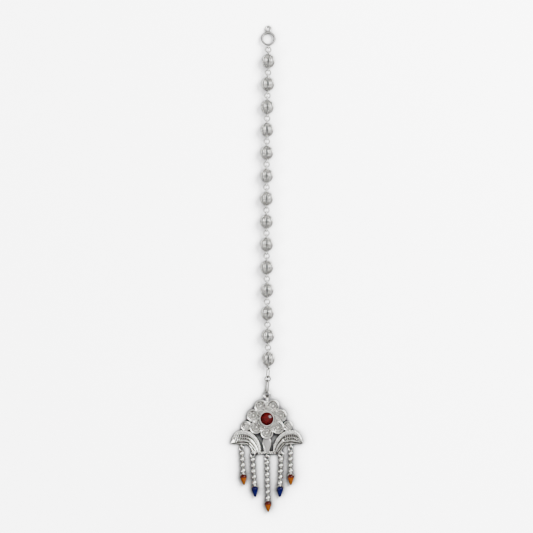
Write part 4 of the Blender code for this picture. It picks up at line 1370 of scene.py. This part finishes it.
def strand_outline(beads):
    """Turned outline of a strand's beads and the cap's neck, as (radius, distance down) points."""
    outline = [(0.0, FIRST_BEAD - BEAD_RADIUS)]
    for index in range(beads):
        centre = FIRST_BEAD + index * BEAD_PITCH
        for angle in map(math.radians, BEAD_DEGREES):
            outline.append((BEAD_RADIUS * math.sin(angle), centre - BEAD_RADIUS * math.cos(angle)))
        if index < beads - 1:
            outline.append((BEAD_NECK, centre + BEAD_PITCH / 2 - BEAD_NECK_HALF))
            outline.append((BEAD_NECK, centre + BEAD_PITCH / 2 + BEAD_NECK_HALF))
    top = drop_distance(beads) - CAP_RADIUS
    end = top + CAP_NECK_END
    return outline + [(CAP_NECK, top - CAP_NECK_START), (CAP_NECK, end), (0.0, end)]


def cap_shell(material):
    """The bowl that holds a drop, with its dipping lip."""
    outline = []
    for radius, order in ((CAP_RADIUS, range(CAP_ROWS + 1)), (CAP_BORE, range(CAP_ROWS, -1, -1))):
        for k in order:
            angle = CAP_ANGLE * k / CAP_ROWS
            outline.append((radius * math.sin(angle), -radius * math.cos(angle)))
    shell = turned(outline, 48, material)
    for vertex in shell.data.vertices:
        radius = vertex.co.length
        angle = math.acos(max(-1.0, min(1.0, -vertex.co.z / radius)))
        turn = math.atan2(vertex.co.y, vertex.co.x)
        reach = CAP_DIP + (CAP_CLAW - CAP_DIP) * abs(math.cos(turn)) ** CAP_CLAW_POWER
        bent = angle / CAP_ANGLE * reach
        vertex.co = way(turn) * radius * math.sin(bent) - UP * radius * math.cos(bent)
    return smoothed(shell)


def drop_outline():
    """Turned outline of a drop: a round top above its widest point and a straight taper below."""
    outline = [(DROP_RADIUS * math.sin(angle), -DROP_RADIUS * math.cos(angle))
               for angle in map(math.radians, range(0, 91, 10))]
    for k in range(1, DROP_ROWS + 1):
        share = k / DROP_ROWS
        radius = DROP_RADIUS * (1 - DROP_TAPER * share) if k < DROP_ROWS else 0.0
        outline.append((radius, share * (DROP_LENGTH - DROP_RADIUS)))
    return outline


class TIKKA_OT_strands(bpy.types.Operator):
    """Model the five bead strands with their caps and drops"""

    bl_idname = "tikka.strands"
    bl_label = "Strands and drops"

    def execute(self, context):
        """Model each strand along its own line."""
        finish = finishes()
        silver = finish["polished silver"]
        for number, across, up, lean, beads, colour in STRANDS:
            hook = FLOWER + Vector((across, up, HANGER_HEIGHT))
            hub = drop_distance(beads)
            climb = DROP_HEIGHT - HANGER_HEIGHT
            down = math.sqrt(hub ** 2 - lean ** 2 - climb ** 2)
            lay = along(hook, Vector((lean, -down, climb)) / hub)
            fall = lay @ Matrix.Rotation(-math.pi / 2, 4, "X")
            foot = fall @ Matrix.Translation((0, 0, hub))
            row = placed(turned(strand_outline(beads), 32, silver), fall)
            ring = wired([(circle_points(STRAND_RING_RADIUS, 32), STRAND_RING_WIRE, True)], silver, sides=8)
            placed(ring, lay @ Matrix.Translation((0, STRAND_RING_RADIUS, 0)))
            cap = placed(cap_shell(finish["bright silver"]), foot)
            worn(joined([row, ring, cap]), f"bead_strand_{number}", "silver", f"strand_{number}")

            stone = turned(drop_outline(), 32, finish[f"{colour} glass"])
            marked_down(stone, lambda point: (point.z + DROP_RADIUS) / DROP_LENGTH)
            worn(placed(stone, foot), f"drop_{number}", f"{colour}_drop", f"drop_stone_{number}")
        return {"FINISHED"}


def softbox(name, place, size, power, target):
    """A square soft light turned to the jewel."""
    data = bpy.data.lights.new(name, "AREA")
    data.size = size
    data.energy = power
    obj = bpy.data.objects.new(name, data)
    bpy.context.scene.collection.objects.link(obj)
    obj.location = place
    obj.rotation_euler = (Vector(target) - Vector(place)).to_track_quat("-Z", "Y").to_euler()
    return obj


def floor_material():
    """Pale paper that the camera sees bright, with soft shade close under the jewel."""
    material = bpy.data.materials.new("pale floor")
    material.use_nodes = True
    tree = material.node_tree
    shader = tree.nodes["Principled BSDF"]
    shader.inputs["Roughness"].default_value = FLOOR_ROUGHNESS
    shader.inputs["Specular IOR Level"].default_value = 0.0
    place = tree.nodes.new("ShaderNodeTexCoord")
    parts = tree.nodes.new("ShaderNodeSeparateXYZ")
    tree.links.new(place.outputs["Object"], parts.inputs["Vector"])
    up = parts.outputs["Y"]
    aside = maths(tree, "ABSOLUTE", parts.outputs["X"])
    foot = FLOWER.y + WING_FOOT
    depth = mapped(tree, up, FLOWER.y, FLOOR_CHAIN_PLACE, FLOOR_SHADE_DEPTH, FLOOR_SHADE_CHAIN, "SMOOTHSTEP")
    wide = maths(tree, "POWER", openness(tree, FLOOR_SHADE_REACH, FLOOR_SAMPLES), depth)
    above = mapped(tree, up, foot, FLOWER.y + PETAL_REACH, FLOOR_CLOSE_DEPTH, FLOOR_CLOSE_CHAIN)
    below = mapped(tree, up, foot - PETAL_RADIUS, foot, FLOOR_CLOSE_STRANDS, FLOOR_CLOSE_DEPTH)
    outer = mapped(tree, aside, FLOOR_SIDE_FROM, FLOOR_SIDE_TO, FLOOR_CLOSE_DEPTH, FLOOR_CLOSE_STRANDS)
    power = maths(tree, "MINIMUM", maths(tree, "MINIMUM", above, below), outer)
    close = maths(tree, "POWER", openness(tree, FLOOR_CLOSE_REACH, FLOOR_SAMPLES), power)
    least = mapped(tree, up, FLOWER.y, FLOOR_CHAIN_PLACE, FLOOR_SHADE_LEAST, FLOOR_CHAIN_LEAST)
    shade = maths(tree, "MAXIMUM", maths(tree, "MULTIPLY", wide, close), least)
    path = tree.nodes.new("ShaderNodeLightPath")
    seen = tree.nodes.new("ShaderNodeMix")
    tree.links.new(path.outputs["Is Camera Ray"], seen.inputs["Factor"])
    seen.inputs["A"].default_value = FLOOR_REFLECTED
    tree.links.new(maths(tree, "MULTIPLY", shade, FLOOR_SEEN), seen.inputs["B"])
    tree.links.new(seen.outputs["Result"], shader.inputs["Base Color"])
    return material


def studio_world():
    """Studio surroundings: dark at the horizon and brighter overhead."""
    world = bpy.data.worlds.new("studio")
    bpy.context.scene.world = world
    world.use_nodes = True
    tree = world.node_tree
    place = tree.nodes.new("ShaderNodeTexCoord")
    parts = tree.nodes.new("ShaderNodeSeparateXYZ")
    tree.links.new(place.outputs["Generated"], parts.inputs["Vector"])
    stops = [(height, (grey, grey, grey * SKY_BLUER)) for height, grey in SKY]
    back = tree.nodes["Background"]
    tree.links.new(coloured(tree, parts.outputs["Z"], stops), back.inputs["Color"])
    back.inputs["Strength"].default_value = SKY_STRENGTH


class TIKKA_OT_stage(bpy.types.Operator):
    """Set up the pale floor, the soft lights and the camera straight above"""

    bl_idname = "tikka.stage"
    bl_label = "Floor, light and camera"

    def execute(self, context):
        """Make the floor, the lights, the world and the camera."""
        quiet()
        bpy.ops.mesh.primitive_plane_add(size=FLOOR_SIZE, location=(0, 0, FLOOR_HEIGHT))
        floor = bpy.context.object
        floor.name = "floor"
        bpy.ops.object.transform_apply(location=True)
        painted(floor, floor_material())

        softbox("fill light", FILL_PLACE, FILL_SIZE, FILL_POWER, (0, FLOWER.y, 0))
        softbox("key light", KEY_PLACE, KEY_SIZE, KEY_POWER, (0, 0, 0))
        studio_world()

        data = bpy.data.cameras.new("camera")
        data.sensor_width = CAMERA_SENSOR
        data.lens = CAMERA_SENSOR * CAMERA_HEIGHT / (PHOTO_SIZE * PHOTO_SCALE)
        data.clip_end = CAMERA_FAR
        camera = bpy.data.objects.new("camera", data)
        bpy.context.scene.collection.objects.link(camera)
        camera.location = PHOTO_MIDDLE + UP * CAMERA_HEIGHT
        bpy.context.scene.camera = camera
        return {"FINISHED"}


class TIKKA_PT_pieces(bpy.types.Panel):
    """The jewel's pieces in the sidebar"""

    bl_idname = "TIKKA_PT_pieces"
    bl_label = "Maang tikka"
    bl_space_type = "VIEW_3D"
    bl_region_type = "UI"
    bl_category = "Tikka"

    def draw(self, context):
        """List the finishes, the wires and the pieces."""
        for group in (context.scene.tikka_finish, context.scene.tikka_wires):
            for name in group.__annotations__:
                self.layout.prop(group, name)
        for step in STEPS:
            self.layout.operator(step.bl_idname)


STEPS = (TIKKA_OT_stage, TIKKA_OT_balls, TIKKA_OT_rings, TIKKA_OT_end_ring, TIKKA_OT_links, TIKKA_OT_flower,
         TIKKA_OT_stone, TIKKA_OT_discs, TIKKA_OT_wings, TIKKA_OT_middle, TIKKA_OT_strands)
CLASSES = (TikkaFinish, TikkaWires, *STEPS, TIKKA_PT_pieces)


def register():
    """Register the classes and the settings."""
    for cls in CLASSES:
        bpy.utils.register_class(cls)
    bpy.types.Scene.tikka_finish = bpy.props.PointerProperty(type=TikkaFinish)
    bpy.types.Scene.tikka_wires = bpy.props.PointerProperty(type=TikkaWires)


def unregister():
    """Take the classes and the settings away."""
    del bpy.types.Scene.tikka_wires
    del bpy.types.Scene.tikka_finish
    for cls in reversed(CLASSES):
        bpy.utils.unregister_class(cls)


def main():
    """Model every piece."""
    register()
    for step in STEPS:
        group, name = step.bl_idname.split(".")
        getattr(getattr(bpy.ops, group), name)()


if __name__ == "__main__":
    main()
